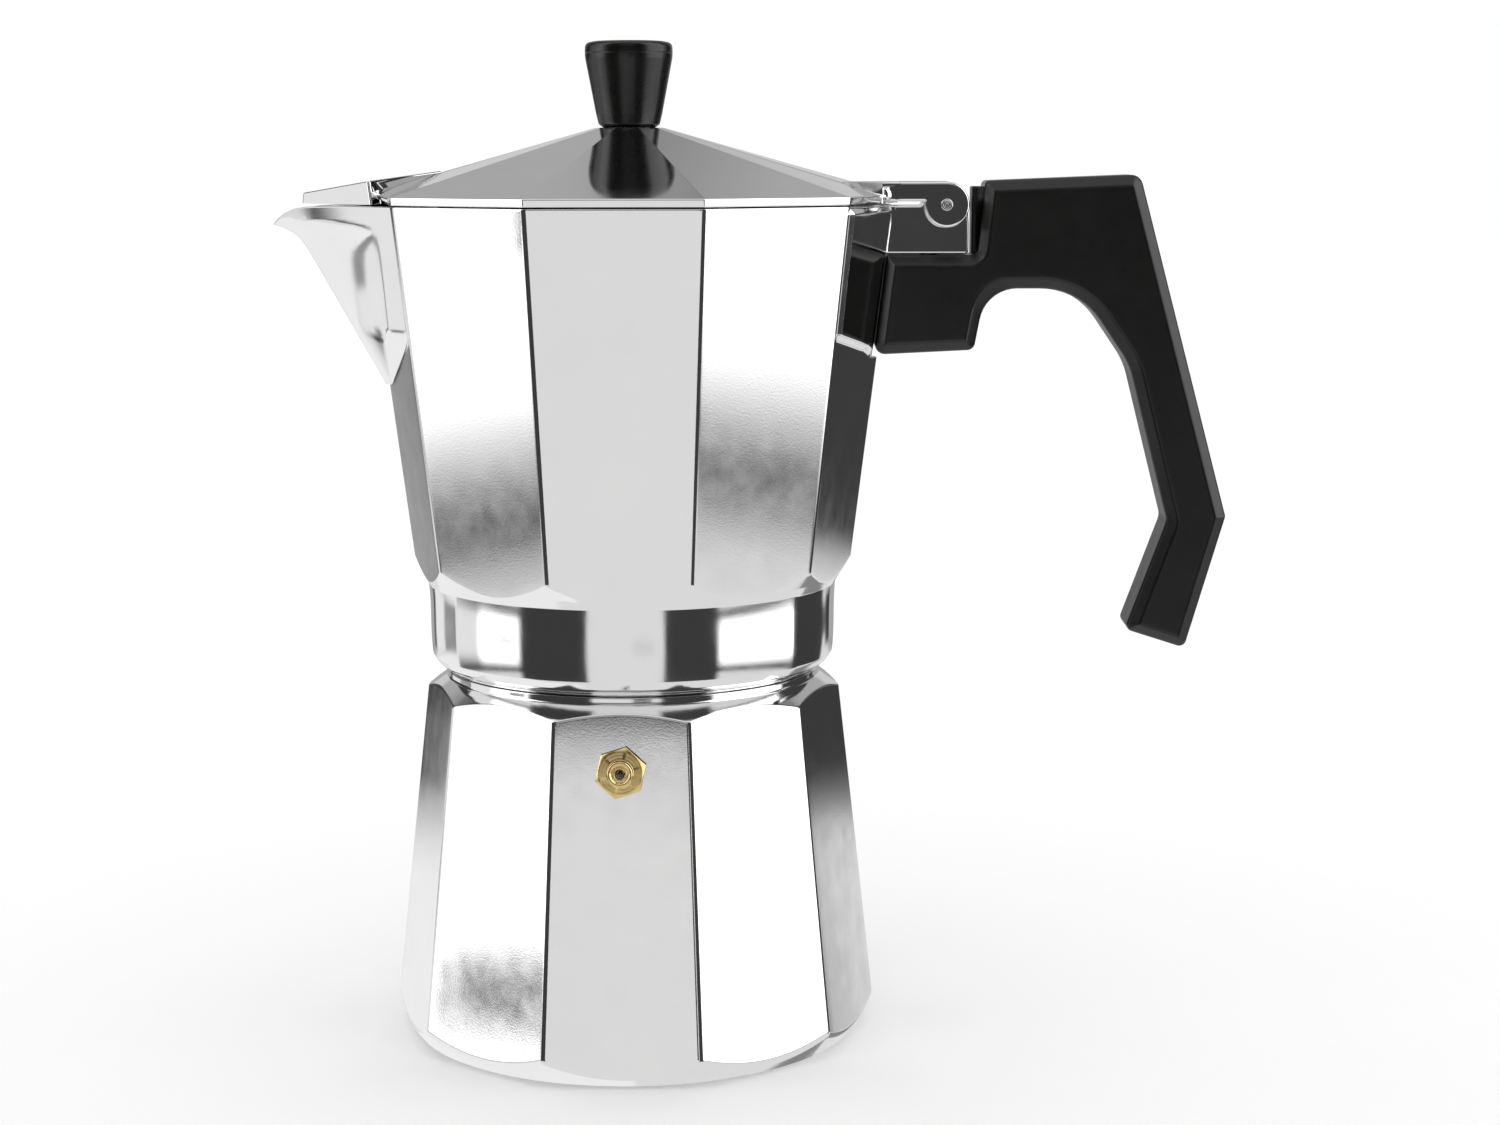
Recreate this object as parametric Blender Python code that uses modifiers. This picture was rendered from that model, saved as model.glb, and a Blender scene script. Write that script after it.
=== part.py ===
"""Stovetop moka pot, 250 mm tall: a ten-sided boiler and upper chamber of cast aluminium, screwed together.

+Z is up and the origin is the centre of the base. The spout points to -X, the handle to +X, and the
safety valve faces -Y. The ten edges of the body stand at 0, 36, 72 ... degrees, so a flat faces -Y.
All lengths are in metres.
"""

import math

import bmesh
import bpy
from mathutils import Matrix, Vector

SIDES = 10
SEGMENTS = 40
FINE_SEGMENTS = 20
APOTHEM = math.cos(math.pi / SIDES)
DRILL_TWIST = math.radians(4)
DRILL_DEPTH = 0.005
GAP = 0.0003

# Boiler. Edge radii are measured to the ten edges, round radii to a turned surface.
BASE_R = 0.0567
BOILER_LOW_Z, BOILER_LOW_R = 0.0064, 0.0616
BOILER_TOP_Z, BOILER_TOP_R = 0.0878, 0.0526
BOILER_RING_Z, BOILER_RING_R = 0.0917, 0.0471
NECK_Z, NECK_R = 0.0934, 0.0440
NECK_TOP_Z, NECK_BORE_R = 0.1075, 0.0400
BOILER_WALL = 0.0035

# Screw joint between the boiler's neck and the upper chamber's collar
THREAD_LEAD = 0.003
THREAD_TURNS = 2.5
THREAD_Z, THREAD_START = 0.0962, math.radians(2)
MALE_CREST_R = 0.0450
FEMALE_CREST_R, FEMALE_ROOT_R = 0.04535, 0.0466

# Upper chamber
COLLAR_Z, COLLAR_LOW_R = 0.0974, 0.0508
COLLAR_TOP_Z, COLLAR_TOP_R = 0.1152, 0.05155
COLLAR_FOOT_Z, COLLAR_FOOT_R = 0.0938, 0.0470
FLARE_Z, FLARE_R, FLARE_SLOPE = 0.1174, 0.0528, 1.39
CHAMBER_LOW_Z, CHAMBER_LOW_R = 0.1213, 0.0556
CHAMBER_RIM_Z, CHAMBER_RIM_R = 0.2097, 0.0668
CHAMBER_WALL, WIDE_R = 0.0027, 0.0560
CEILING_Z, FLOOR_Z = 0.1122, 0.1190
FLOOR_FILLET = [(0.0, 0.0085), (0.0022, 0.0030), (0.0080, 0.0)]

# Spout
SPOUT_FOOT_Z = 0.1647
SPOUT_SIDE_Z = 0.1780
SPOUT_LOW_SHARE, SPOUT_MID_SHARE, SPOUT_SHARE = 0.08, 0.74, 0.835
SPOUT_MID_BULGE, SPOUT_BULGE = 0.0040, 0.00265
SPOUT_RAKE, SPOUT_FLARE, SPOUT_SWELL = 0.56, 0.0015, 0.0008
SPOUT_RISES = [0, 0.0045, 0.0133, 0.0230, 0.0325, 0.0360, 0.0380, 0.0391, 0.0400, 0.0450]
SPOUT_TIP = (-0.0894, 0.2047)

# Lid and its hinge
LID_R, LID_LOW_Z, LID_STRIP = 0.0671, 0.2100, 0.0019
LID_SEAT_R, LID_SEAT_Z = 0.0085, 0.2285
LID_WALL = 0.0020
BEAK_APEX_X, BEAK_TIP_X, BEAK_TIP_Y, BEAK_TIP_Z = -0.0470, -0.0815, 0.0016, 0.2126
BEAK_SIDE_X, BEAK_SIDE_Y, BEAK_SLOPE, BEAK_WALL = -0.0618, 0.0235, 0.1565, 0.0016
ARM_X = 0.0500
HINGE_X, HINGE_Z = 0.0786, 0.2096
LUG_R, LUG_Y_IN, LUG_Y_OUT = 0.0056, 0.0065, 0.0100
LUG_TOP_Z, LUG_LOW_Z = 0.2152, 0.2104
PIN_R, PIN_HALF, PIN_EDGE = 0.0015, 0.0103, 0.0003
PIN_DIMPLE_R, PIN_DIMPLE = 0.0008, 0.0005

# Bracket that carries the handle and the hinge
BRACKET_END_X, BRACKET_LOW_Z, BRACKET_TOP_Z = 0.0842, 0.1975, 0.2100
BRACKET_HALF_Y, TONGUE_R = 0.0062, 0.0050
LAND_DEPTH, LAND_HALF_Y, LAND_LOW_Z = 0.0016, 0.0135, 0.1715
PAD_RAISE, PAD_CORNER_Z, PAD_MIDDLE_Z, PAD_FOOT = 0.0012, 0.1792, 0.1732, 0.0023

# Handle
HANDLE_HALF_Y, HANDLE_EDGE = 0.0100, 0.0022
HANDLE_SCREW_X, HANDLE_SCREW_R = 0.0745, 0.0020
HANDLE_HEAD_Z, HANDLE_BORE_R, HANDLE_HEAD_R = 0.1835, 0.0044, 0.0037
HANDLE_WASHER_R, HANDLE_WASHER = 0.0041, 0.0008
WEB_LOW, WEB_HIGH = (0.0850, -0.0045, 0.1955), (0.0895, 0.0045, 0.2140)

# Funnel, filter and gasket
BASKET_R, BASKET_SHEET = 0.0393, 0.0008
BASKET_FLANGE_R, BASKET_LOW_Z = 0.0434, 0.0790
STEM_R, STEM_LOW_Z, STEM_TOP_Z, CONE_LOW_Z = 0.0056, 0.0120, 0.0690, 0.0660
GASKET_R, GASKET_IN_R = 0.0430, 0.0350
GASKET_LOW_Z, GASKET_TOP_Z, GASKET_EDGE = 0.1089, 0.1119, 0.0006
PLATE_R, PLATE_Z, PLATE_SHEET = 0.0346, 0.1096, 0.0008

# Coffee column
COLUMN_TOP_Z, COLUMN_LOW_R, COLUMN_TOP_R, COLUMN_BORE_R = 0.1940, 0.0078, 0.0066, 0.0050
COLUMN_FOOT_R, COLUMN_FOOT = 0.0098, 0.0018
CAP_LOW_Z, CAP_HIGH_Z, CAP_SHEET, CAP_HOLE_R, CAP_PORT_R = 0.1880, 0.1990, 0.0010, 0.0012, 0.0019

# Knob
KNOB_LOW_Z, KNOB_TOP_Z = 0.2288, 0.2500
KNOB_LOW_R, KNOB_TOP_R, KNOB_EDGE = 0.0076, 0.0109, 0.0013
KNOB_WIDEST_Z, KNOB_CROWN = 0.2460, 0.0006
POCKET_R, POCKET_TOP_Z, INSERT_R = 0.0040, 0.2413, 0.0021
KNOB_SCREW_R, KNOB_HEAD_R, KNOB_WASHER_R, KNOB_WASHER = 0.0018, 0.0036, 0.0048, 0.0006

# Safety valve, measured outwards from the flat that it stands on
VALVE_Z = 0.0764
VALVE_SHANK_R, VALVE_SHANK_IN = 0.0040, 0.0092
VALVE_BORE_R, VALVE_HOLE_R = 0.0027, 0.0013
HEX_FLATS, HEX_LOW, HEX_TOP, HEX_TURN = 0.0110, 0.0014, 0.0050, math.radians(17)
VALVE_TOP, VALVE_BOSS_R, VALVE_WASHER_R = 0.0074, 0.0031, 0.0053
STEM_PIN_R, STEM_HEAD_R, STEM_HEAD_TOP, STEM_HEAD = 0.0009, 0.0022, -0.0040, 0.0010
SEAT_TOP, SEAT_LOW, SEAT_HOLE_R, SEAT_CONE_R = -0.0058, -0.0090, 0.0011, 0.0018
SPRING_R, SPRING_WIRE_R, SPRING_LOW, SPRING_TURNS = 0.0018, 0.00022, -0.0034, 5


def radius_between(z, low, high):
    """Radius at height z on the straight line through two (z, radius) pairs."""
    return low[1] + (high[1] - low[1]) * (z - low[0]) / (high[0] - low[0])


def boiler_edge_r(z):
    return radius_between(z, (BOILER_LOW_Z, BOILER_LOW_R), (BOILER_TOP_Z, BOILER_TOP_R))


def chamber_edge_r(z):
    return radius_between(z, (CHAMBER_LOW_Z, CHAMBER_LOW_R), (CHAMBER_RIM_Z, CHAMBER_RIM_R))


# ---------------------------------------------------------------- scene and modelling helpers


def clear_scene():
    for obj in list(bpy.data.objects):
        bpy.data.objects.remove(obj, do_unlink=True)


def new_collection(name):
    collection = bpy.data.collections.new(name)
    bpy.context.scene.collection.children.link(collection)
    return collection


def new_material(name, colour, metallic, roughness):
    material = bpy.data.materials.new(name)
    material.use_nodes = True
    shader = material.node_tree.nodes["Principled BSDF"]
    shader.inputs["Base Color"].default_value = (*colour, 1.0)
    shader.inputs["Metallic"].default_value = metallic
    shader.inputs["Roughness"].default_value = roughness
    return material


def new_frame(name, location, parent=None):
    """An empty that pieces hang on. Its place is in world coordinates."""
    frame = bpy.data.objects.new(name, None)
    frame.location = location
    frame.parent = parent
    PARTS.objects.link(frame)
    return frame


def hang(frame, *pieces):
    """Parents pieces, modelled in world coordinates, to a frame that is only moved, not turned."""
    for piece in pieces:
        piece.parent = frame
        piece.matrix_parent_inverse = Matrix.Translation(-frame.location)


def new_object(name, mesh, finish=None):
    """A part with a finish, or without one a hidden cutter or piece to join."""
    obj = bpy.data.objects.new(name, mesh)
    if finish:
        PARTS.objects.link(obj)
        mesh.materials.append(FINISH[finish])
    else:
        CUTTERS.objects.link(obj)
        obj.hide_render = True
        obj.display_type = "WIRE"
    return obj


def mesh_from(name, bm):
    bmesh.ops.recalc_face_normals(bm, faces=bm.faces)
    mesh = bpy.data.meshes.new(name)
    bm.to_mesh(mesh)
    bm.free()
    return mesh


def turned(name, profile, finish=None, segments=SEGMENTS, bored=True):
    """Turns a profile of (radius, z) points that runs down its outer side, and back up a bore."""
    mesh = bpy.data.meshes.new(name)
    count = len(profile)
    edges = [(i, (i + 1) % count) for i in range(count if bored else count - 1)]
    mesh.from_pydata([(r, 0, z) for r, z in profile], edges, [])
    obj = new_object(name, mesh, finish)
    screw = obj.modifiers.new("Turn", "SCREW")
    screw.steps = screw.render_steps = segments
    screw.use_merge_vertices = True
    screw.merge_threshold = 1e-6
    screw.use_smooth_shade = True
    return obj


def solid_turned(name, profile, finish=None, segments=SEGMENTS):
    """Turns an outline without a bore: it starts and ends on the axis."""
    top, bottom = profile[0][1], profile[-1][1]
    return turned(name, [(0, top), *profile, (0, bottom)], finish, segments, bored=False)


def loft(name, rings, finish=None):
    """A closed solid through rings that all have the same number of points."""
    bm = bmesh.new()
    layers = [[bm.verts.new(point) for point in ring] for ring in rings]
    for low, high in zip(layers, layers[1:]):
        for i in range(len(low)):
            j = (i + 1) % len(low)
            bm.faces.new((low[i], low[j], high[j], high[i]))
    bm.faces.new(layers[0])
    bm.faces.new(layers[-1])
    return new_object(name, mesh_from(name, bm), finish)


def hull(name, points, finish=None):
    bm = bmesh.new()
    for point in points:
        bm.verts.new(point)
    bmesh.ops.convex_hull(bm, input=bm.verts)
    return new_object(name, mesh_from(name, bm), finish)


def box(name, low, high, finish=None):
    bm = bmesh.new()
    bmesh.ops.create_cube(bm, size=1)
    low, high = Vector(low), Vector(high)
    bmesh.ops.scale(bm, vec=high - low, verts=bm.verts)
    bmesh.ops.translate(bm, vec=(high + low) / 2, verts=bm.verts)
    return new_object(name, mesh_from(name, bm), finish)


def cylinder(name, radius, low, high, centre=(0, 0), axis="Z", segments=FINE_SEGMENTS, finish=None):
    """A cylinder along Z at (x, y), or along Y at (x, z), twisted to keep its corners off other edges."""
    bm = bmesh.new()
    bmesh.ops.create_cone(
        bm, cap_ends=True, segments=segments, radius1=radius, radius2=radius, depth=high - low
    )
    bmesh.ops.translate(bm, vec=(0, 0, (high + low) / 2), verts=bm.verts)
    if segments > 6:
        bmesh.ops.rotate(bm, matrix=Matrix.Rotation(DRILL_TWIST, 3, "Z"), verts=bm.verts)
    if axis == "Y":
        bmesh.ops.rotate(bm, matrix=Matrix.Rotation(-math.pi / 2, 3, "X"), verts=bm.verts)
        bmesh.ops.translate(bm, vec=(centre[0], 0, centre[1]), verts=bm.verts)
    else:
        bmesh.ops.translate(bm, vec=(centre[0], centre[1], 0), verts=bm.verts)
    return new_object(name, mesh_from(name, bm), finish)


def decagon(z, edge_r):
    """The ring of ten body edges at one height."""
    turn = 2 * math.pi / SIDES
    return [
        (edge_r * math.cos(i * turn), edge_r * math.sin(i * turn), z) for i in range(SIDES)
    ]


def rounded(outline, steps=4):
    """Points of an outline of (x, z, corner radius) with each corner turned into an arc."""
    points = []
    count = len(outline)
    for i, (x, z, radius) in enumerate(outline):
        corner = Vector((x, z))
        back = (Vector(outline[i - 1][:2]) - corner).normalized()
        ahead = (Vector(outline[(i + 1) % count][:2]) - corner).normalized()
        half = back.angle(ahead) / 2
        if radius == 0 or half > math.radians(89):
            points.append(corner)
            continue
        centre = corner + (back + ahead).normalized() * radius / math.sin(half)
        start = corner + back * radius / math.tan(half) - centre
        sweep = start.angle_signed(corner + ahead * radius / math.tan(half) - centre)
        for k in range(steps + 1):
            points.append(centre + Matrix.Rotation(-sweep * k / steps, 2) @ start)
    return points


def plate(name, outline, half_y, edge=0.0, finish=None):
    """A flat outline in the XZ plane, as thick as 2 * half_y, with its edges rounded by edge."""
    curve = bpy.data.curves.new(name, "CURVE")
    curve.dimensions = "2D"
    curve.fill_mode = "BOTH"
    curve.extrude = half_y - edge
    curve.bevel_depth = edge
    curve.bevel_resolution = 1
    curve.offset = -edge
    spline = curve.splines.new("POLY")
    spline.points.add(len(outline) - 1)
    for point, (x, z) in zip(spline.points, outline):
        point.co = (x, z, 0, 1)
    spline.use_cyclic_u = True
    source = bpy.data.objects.new(name + "_curve", curve)
    source.rotation_euler = (math.pi / 2, 0, 0)
    bpy.context.scene.collection.objects.link(source)
    bpy.context.view_layer.update()
    evaluated = source.evaluated_get(bpy.context.evaluated_depsgraph_get())
    mesh = bpy.data.meshes.new_from_object(evaluated)
    mesh.transform(source.matrix_world)
    bpy.data.objects.remove(source)
    bpy.data.curves.remove(curve)
    bm = bmesh.new()
    bm.from_mesh(mesh)
    bmesh.ops.remove_doubles(bm, verts=bm.verts, dist=1e-6)
    bpy.data.meshes.remove(mesh)
    return new_object(name, mesh_from(name, bm), finish)


def boolean(obj, other, operation="DIFFERENCE"):
    modifier = obj.modifiers.new(other.name, "BOOLEAN")
    modifier.operation = operation
    modifier.object = other


def join(obj, other):
    boolean(obj, other, "UNION")


def thread_ridge(name, root_r, crest_r, start_angle):
    """A helical ridge whose height fades in and out over its first and last sixth of a turn."""
    per_turn = 20
    fade = per_turn // 6
    last = int(THREAD_TURNS * per_turn)
    rings = []
    for i in range(last + 1):
        angle = start_angle + 2 * math.pi * i / per_turn
        z = THREAD_Z + THREAD_LEAD * i / per_turn
        height = min(i, last - i, fade) / fade
        top_r = root_r + (crest_r - root_r) * (0.15 + 0.85 * height)
        into_wall = -0.0004 if crest_r > root_r else 0.0004
        section = [
            (root_r + into_wall, -0.0010),
            (top_r, -0.0004),
            (top_r, 0.0004),
            (root_r + into_wall, 0.0010),
        ]
        rings.append([(r * math.cos(angle), r * math.sin(angle), z + dz) for r, dz in section])
    return loft(name, rings)


def perforate(sheet, hole_r, pitch, field_r, centre_z):
    """Drills a sheet on a triangular grid inside a round field."""
    bm = bmesh.new()
    reach = int(field_r / pitch) + 1
    for row in range(-reach, reach + 1):
        for column in range(-2 * reach, 2 * reach + 1):
            x = (column + (row % 2) / 2) * pitch
            y = row * pitch * math.sqrt(3) / 2
            if math.hypot(x, y) > field_r:
                continue
            place = Matrix.Translation((x, y, centre_z))
            bmesh.ops.create_cone(
                bm,
                cap_ends=True,
                segments=6,
                radius1=hole_r,
                radius2=hole_r,
                depth=DRILL_DEPTH,
                matrix=place,
            )
    name = sheet.name + "_holes"
    boolean(sheet, new_object(name, mesh_from(name, bm)))


# ---------------------------------------------------------------- boiler and safety valve


def valve_frame():
    """An empty on the valve's flat: its local Z is the flat's outward normal."""
    lean = math.atan((BOILER_LOW_R - BOILER_TOP_R) * APOTHEM / (BOILER_TOP_Z - BOILER_LOW_Z))
    frame = new_frame("valve_frame", (0, -boiler_edge_r(VALVE_Z) * APOTHEM, VALVE_Z))
    frame.rotation_euler = (math.pi / 2 - lean, 0, 0)
    return frame


def make_boiler(frame):
    boiler = loft(
        "boiler",
        [decagon(-0.001, boiler_edge_r(-0.001)), decagon(0.110, boiler_edge_r(0.110))],
        "cast",
    )
    shoulder = (BOILER_RING_Z - BOILER_TOP_Z) / (BOILER_TOP_R - BOILER_RING_R)
    chamfer = BOILER_LOW_Z / (BOILER_LOW_R - BASE_R)
    outer_r = BOILER_LOW_R + 0.003
    outline = [
        (NECK_R - 0.0008, NECK_TOP_Z),
        (NECK_R, NECK_TOP_Z - 0.0008),
        (NECK_R, NECK_Z),
        (BOILER_RING_R, NECK_Z),
        (BOILER_RING_R, BOILER_RING_Z),
        (outer_r, BOILER_RING_Z - (outer_r - BOILER_RING_R) * shoulder),
        (outer_r, (outer_r - BASE_R) * chamfer),
        (BASE_R, 0),
    ]
    boolean(boiler, solid_turned("boiler_outline", outline), "INTERSECT")
    join(boiler, thread_ridge("neck_thread", NECK_R, MALE_CREST_R, THREAD_START))
    top_r = BOILER_TOP_R * APOTHEM - BOILER_WALL
    low_r = BOILER_LOW_R * APOTHEM - BOILER_WALL
    cavity = [
        (NECK_BORE_R, NECK_TOP_Z + 0.002),
        (NECK_BORE_R, BOILER_TOP_Z + 0.003),
        (top_r, BOILER_TOP_Z - 0.006),
        (low_r, BOILER_LOW_Z + 0.006),
        (low_r - 0.004, 0.0045),
        (low_r - 0.009, 0.0032),
    ]
    boolean(boiler, solid_turned("boiler_cavity", cavity))
    hole = cylinder("valve_hole", VALVE_SHANK_R + GAP, -0.02, 0.01)
    hole.parent = frame
    boolean(boiler, hole)
    return boiler


def make_valve(frame):
    shank = [
        (VALVE_BOSS_R - 0.0005, VALVE_TOP),
        (VALVE_BOSS_R, VALVE_TOP - 0.0005),
        (VALVE_BOSS_R, HEX_TOP - 0.001),
        (VALVE_SHANK_R, HEX_LOW + 0.001),
        (VALVE_SHANK_R, -VALVE_SHANK_IN),
        (VALVE_BORE_R, -VALVE_SHANK_IN),
        (VALVE_BORE_R, HEX_TOP - 0.0008),
        (VALVE_HOLE_R, HEX_TOP),
        (VALVE_HOLE_R, VALVE_TOP),
    ]
    body = turned("valve_body", shank, "brass", FINE_SEGMENTS)
    hexagon = cylinder(
        "valve_hex", HEX_FLATS / 2 / math.cos(math.pi / 6), HEX_LOW, HEX_TOP, segments=6
    )
    hexagon.rotation_euler = (0, 0, HEX_TURN)
    hexagon.parent = frame
    corner_cut = [
        (HEX_FLATS / 2 - 0.0002, HEX_TOP + 0.0001),
        (HEX_FLATS * 0.62, HEX_TOP - 0.0009),
        (HEX_FLATS * 0.62, HEX_LOW - 0.001),
    ]
    round_off = solid_turned("valve_hex_round", corner_cut, None, FINE_SEGMENTS)
    round_off.parent = frame
    boolean(hexagon, round_off, "INTERSECT")
    bore = solid_turned(
        "valve_hex_bore",
        [
            (VALVE_HOLE_R, VALVE_TOP + 0.001),
            (VALVE_HOLE_R, HEX_TOP),
            (VALVE_BORE_R, HEX_TOP - 0.0008),
            (VALVE_BORE_R, -VALVE_SHANK_IN - 0.001),
        ],
        None,
        FINE_SEGMENTS,
    )
    bore.parent = frame
    join(body, hexagon)
    boolean(body, bore)

    washer = turned(
        "valve_washer",
        [
            (VALVE_WASHER_R, HEX_LOW - GAP),
            (VALVE_WASHER_R, GAP),
            (VALVE_SHANK_R + GAP, GAP),
            (VALVE_SHANK_R + GAP, HEX_LOW - GAP),
        ],
        "seal",
        FINE_SEGMENTS,
    )
    seat = turned(
        "valve_seat",
        [
            (VALVE_BORE_R - GAP, SEAT_TOP),
            (VALVE_BORE_R - GAP, SEAT_LOW),
            (SEAT_HOLE_R, SEAT_LOW),
            (SEAT_HOLE_R, SEAT_TOP - 0.0008),
            (SEAT_CONE_R, SEAT_TOP),
        ],
        "brass",
        FINE_SEGMENTS,
    )
    stem = solid_turned(
        "valve_stem",
        [
            (STEM_PIN_R - 0.0002, VALVE_TOP - 0.0002),
            (STEM_PIN_R, VALVE_TOP - 0.0005),
            (STEM_PIN_R, STEM_HEAD_TOP),
            (STEM_HEAD_R, STEM_HEAD_TOP),
            (STEM_HEAD_R, STEM_HEAD_TOP - STEM_HEAD),
            (STEM_PIN_R, STEM_HEAD_TOP - 2 * STEM_HEAD),
        ],
        "brass",
        16,
    )
    spring = valve_spring(SPRING_LOW, HEX_TOP - 0.0015)
    for piece in (body, washer, seat, stem, spring):
        piece.parent = frame


def valve_spring(low, high):
    """A compression spring of round wire along the valve's axis."""
    per_turn = 10
    count = SPRING_TURNS * per_turn + 1
    curve = bpy.data.curves.new("valve_spring", "CURVE")
    curve.dimensions = "3D"
    curve.bevel_depth = SPRING_WIRE_R
    curve.bevel_resolution = 1
    curve.use_fill_caps = True
    spline = curve.splines.new("POLY")
    spline.points.add(count - 1)
    for i, point in enumerate(spline.points):
        angle = 2 * math.pi * i / per_turn
        z = low + (high - low) * i / (count - 1)
        point.co = (SPRING_R * math.cos(angle), SPRING_R * math.sin(angle), z, 1)
    obj = bpy.data.objects.new("valve_spring", curve)
    curve.materials.append(FINISH["steel"])
    PARTS.objects.link(obj)
    return obj


# ---------------------------------------------------------------- funnel, filter plate and gasket


def make_funnel():
    flange_z = NECK_TOP_Z + GAP
    inner_r = BASKET_R - BASKET_SHEET
    neck_r = STEM_R + GAP
    turned(
        "funnel_basket",
        [
            (BASKET_FLANGE_R, flange_z + BASKET_SHEET),
            (BASKET_FLANGE_R, flange_z),
            (BASKET_R, flange_z),
            (BASKET_R, BASKET_LOW_Z),
            (neck_r + BASKET_SHEET, CONE_LOW_Z + 0.001),
            (neck_r + BASKET_SHEET, CONE_LOW_Z - 0.005),
            (neck_r, CONE_LOW_Z - 0.005),
            (neck_r, CONE_LOW_Z + 0.0018),
            (inner_r, BASKET_LOW_Z + 0.0004),
            (inner_r, flange_z + BASKET_SHEET),
        ],
        "sheet",
    )
    turned(
        "funnel_stem",
        [
            (STEM_R, STEM_TOP_Z),
            (STEM_R, STEM_LOW_Z),
            (STEM_R - BASKET_SHEET, STEM_LOW_Z),
            (STEM_R - BASKET_SHEET, STEM_TOP_Z),
        ],
        "sheet",
        FINE_SEGMENTS,
    )
    sieve_z = BASKET_LOW_Z + 0.0008
    sieve = solid_turned(
        "funnel_sieve",
        [(inner_r - GAP, sieve_z + BASKET_SHEET), (inner_r - GAP, sieve_z)],
        "sheet",
    )
    perforate(sieve, 0.0013, 0.0105, 0.034, sieve_z)


def make_filter():
    plate_disc = solid_turned(
        "filter_plate",
        [
            (PLATE_R - 0.0020, PLATE_Z + 2 * PLATE_SHEET),
            (PLATE_R, PLATE_Z + PLATE_SHEET),
            (PLATE_R, PLATE_Z),
            (PLATE_R - 0.0024, PLATE_Z + PLATE_SHEET),
        ],
        "sheet",
    )
    perforate(plate_disc, 0.0012, 0.0092, 0.028, PLATE_Z)
    turned(
        "gasket",
        [
            (GASKET_R, GASKET_TOP_Z),
            (GASKET_R, GASKET_LOW_Z + GASKET_EDGE),
            (GASKET_R - GASKET_EDGE, GASKET_LOW_Z),
            (GASKET_IN_R, GASKET_LOW_Z),
            (GASKET_IN_R, GASKET_TOP_Z),
        ],
        "seal",
    )


# ---------------------------------------------------------------- upper chamber


def facet_point(z, inset, share):
    """A point on the flat beside the spout. Share 0 is the spout's edge and share 1 the next edge."""
    edge = chamber_edge_r(z) - inset / APOTHEM
    turn = 2 * math.pi / SIDES
    near = Vector((-edge, 0))
    far = Vector((-edge * math.cos(turn), edge * math.sin(turn)))
    return near.lerp(far, share)


def keel_x(z):
    """The spout's front edge: straight up to the lip, which flares out to the tip."""
    tip_x, tip_z = SPOUT_TIP
    foot_x = chamber_edge_r(SPOUT_FOOT_Z) + SPOUT_SWELL
    straight = -foot_x - SPOUT_RAKE * (z - SPOUT_FOOT_Z)
    flare = tip_x + foot_x + SPOUT_RAKE * (tip_z - SPOUT_FOOT_Z)
    return max(straight, tip_x) + flare * math.exp(-max(tip_z - z, 0) / SPOUT_FLARE)


def spout_side(rise, climb):
    """The crease along the spout's side: its place on the flat, and how far it stands out in front."""
    if climb < 1:
        return SPOUT_LOW_SHARE + (SPOUT_MID_SHARE - SPOUT_LOW_SHARE) * climb, SPOUT_MID_BULGE * climb
    knee = (SPOUT_SIDE_Z - SPOUT_FOOT_Z) / (CHAMBER_RIM_Z - SPOUT_FOOT_Z)
    part = (rise - knee) / (1 - knee)
    share = SPOUT_MID_SHARE + (SPOUT_SHARE - SPOUT_MID_SHARE) * part
    return share, SPOUT_MID_BULGE + (SPOUT_BULGE - SPOUT_MID_BULGE) * part


def chamber_ring(z, inset=0.0):
    """The upper chamber's outline at one height: ten edges, one of them drawn out into the spout."""
    turn = 2 * math.pi / SIDES
    edge = chamber_edge_r(z) - inset / APOTHEM
    body = [(edge * math.cos(i * turn), edge * math.sin(i * turn)) for i in range(-4, 5)]
    rise = min(max((z - SPOUT_FOOT_Z) / (CHAMBER_RIM_Z - SPOUT_FOOT_Z), 0), 1)
    climb = min(max((z - SPOUT_FOOT_Z) / (SPOUT_SIDE_Z - SPOUT_FOOT_Z), 0), 1)
    reach = facet_point(z, inset, 0.12 + 0.85 * climb)
    share, bulge = spout_side(rise, climb)
    side = facet_point(z, inset, share) - Vector((bulge, 0))
    nose = facet_point(z, inset, 0.04)
    keel = facet_point(z, inset, 0.01)
    bend = (side + nose) / 2
    if rise > 0:
        keel = Vector((min(keel_x(z) + 1.6 * inset, keel.x), 0.0003 + 0.0003 * rise))
        nose = keel + Vector((0.0012 * rise + 0.0002, 0.0010 * rise + 0.0002))
        bend = (side + nose) / 2 + Vector((0.0012, 0.0)) * rise
    half = [tuple(point) for point in (reach, side, bend, nose, keel)]
    outline = body + half + [(x, -y) for x, y in reversed(half)]
    return [(x, y, z) for x, y in outline]


def spout_lip_cutter():
    """What the drooping lip leaves away above the spout's curved top edge."""
    tip_x, tip_z = SPOUT_TIP
    outline = [
        (-0.0700, CHAMBER_RIM_Z + 0.0002, 0),
        (-0.0800, CHAMBER_RIM_Z - 0.0004, 0.020),
        (-0.0868, CHAMBER_RIM_Z - 0.0024, 0.010),
        (tip_x - 0.0010, tip_z - 0.0006, 0),
        (-0.1000, tip_z - 0.0006, 0),
        (-0.1000, 0.2200, 0),
        (-0.0700, 0.2200, 0),
    ]
    return plate("spout_lip", rounded(outline), 0.040)


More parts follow.
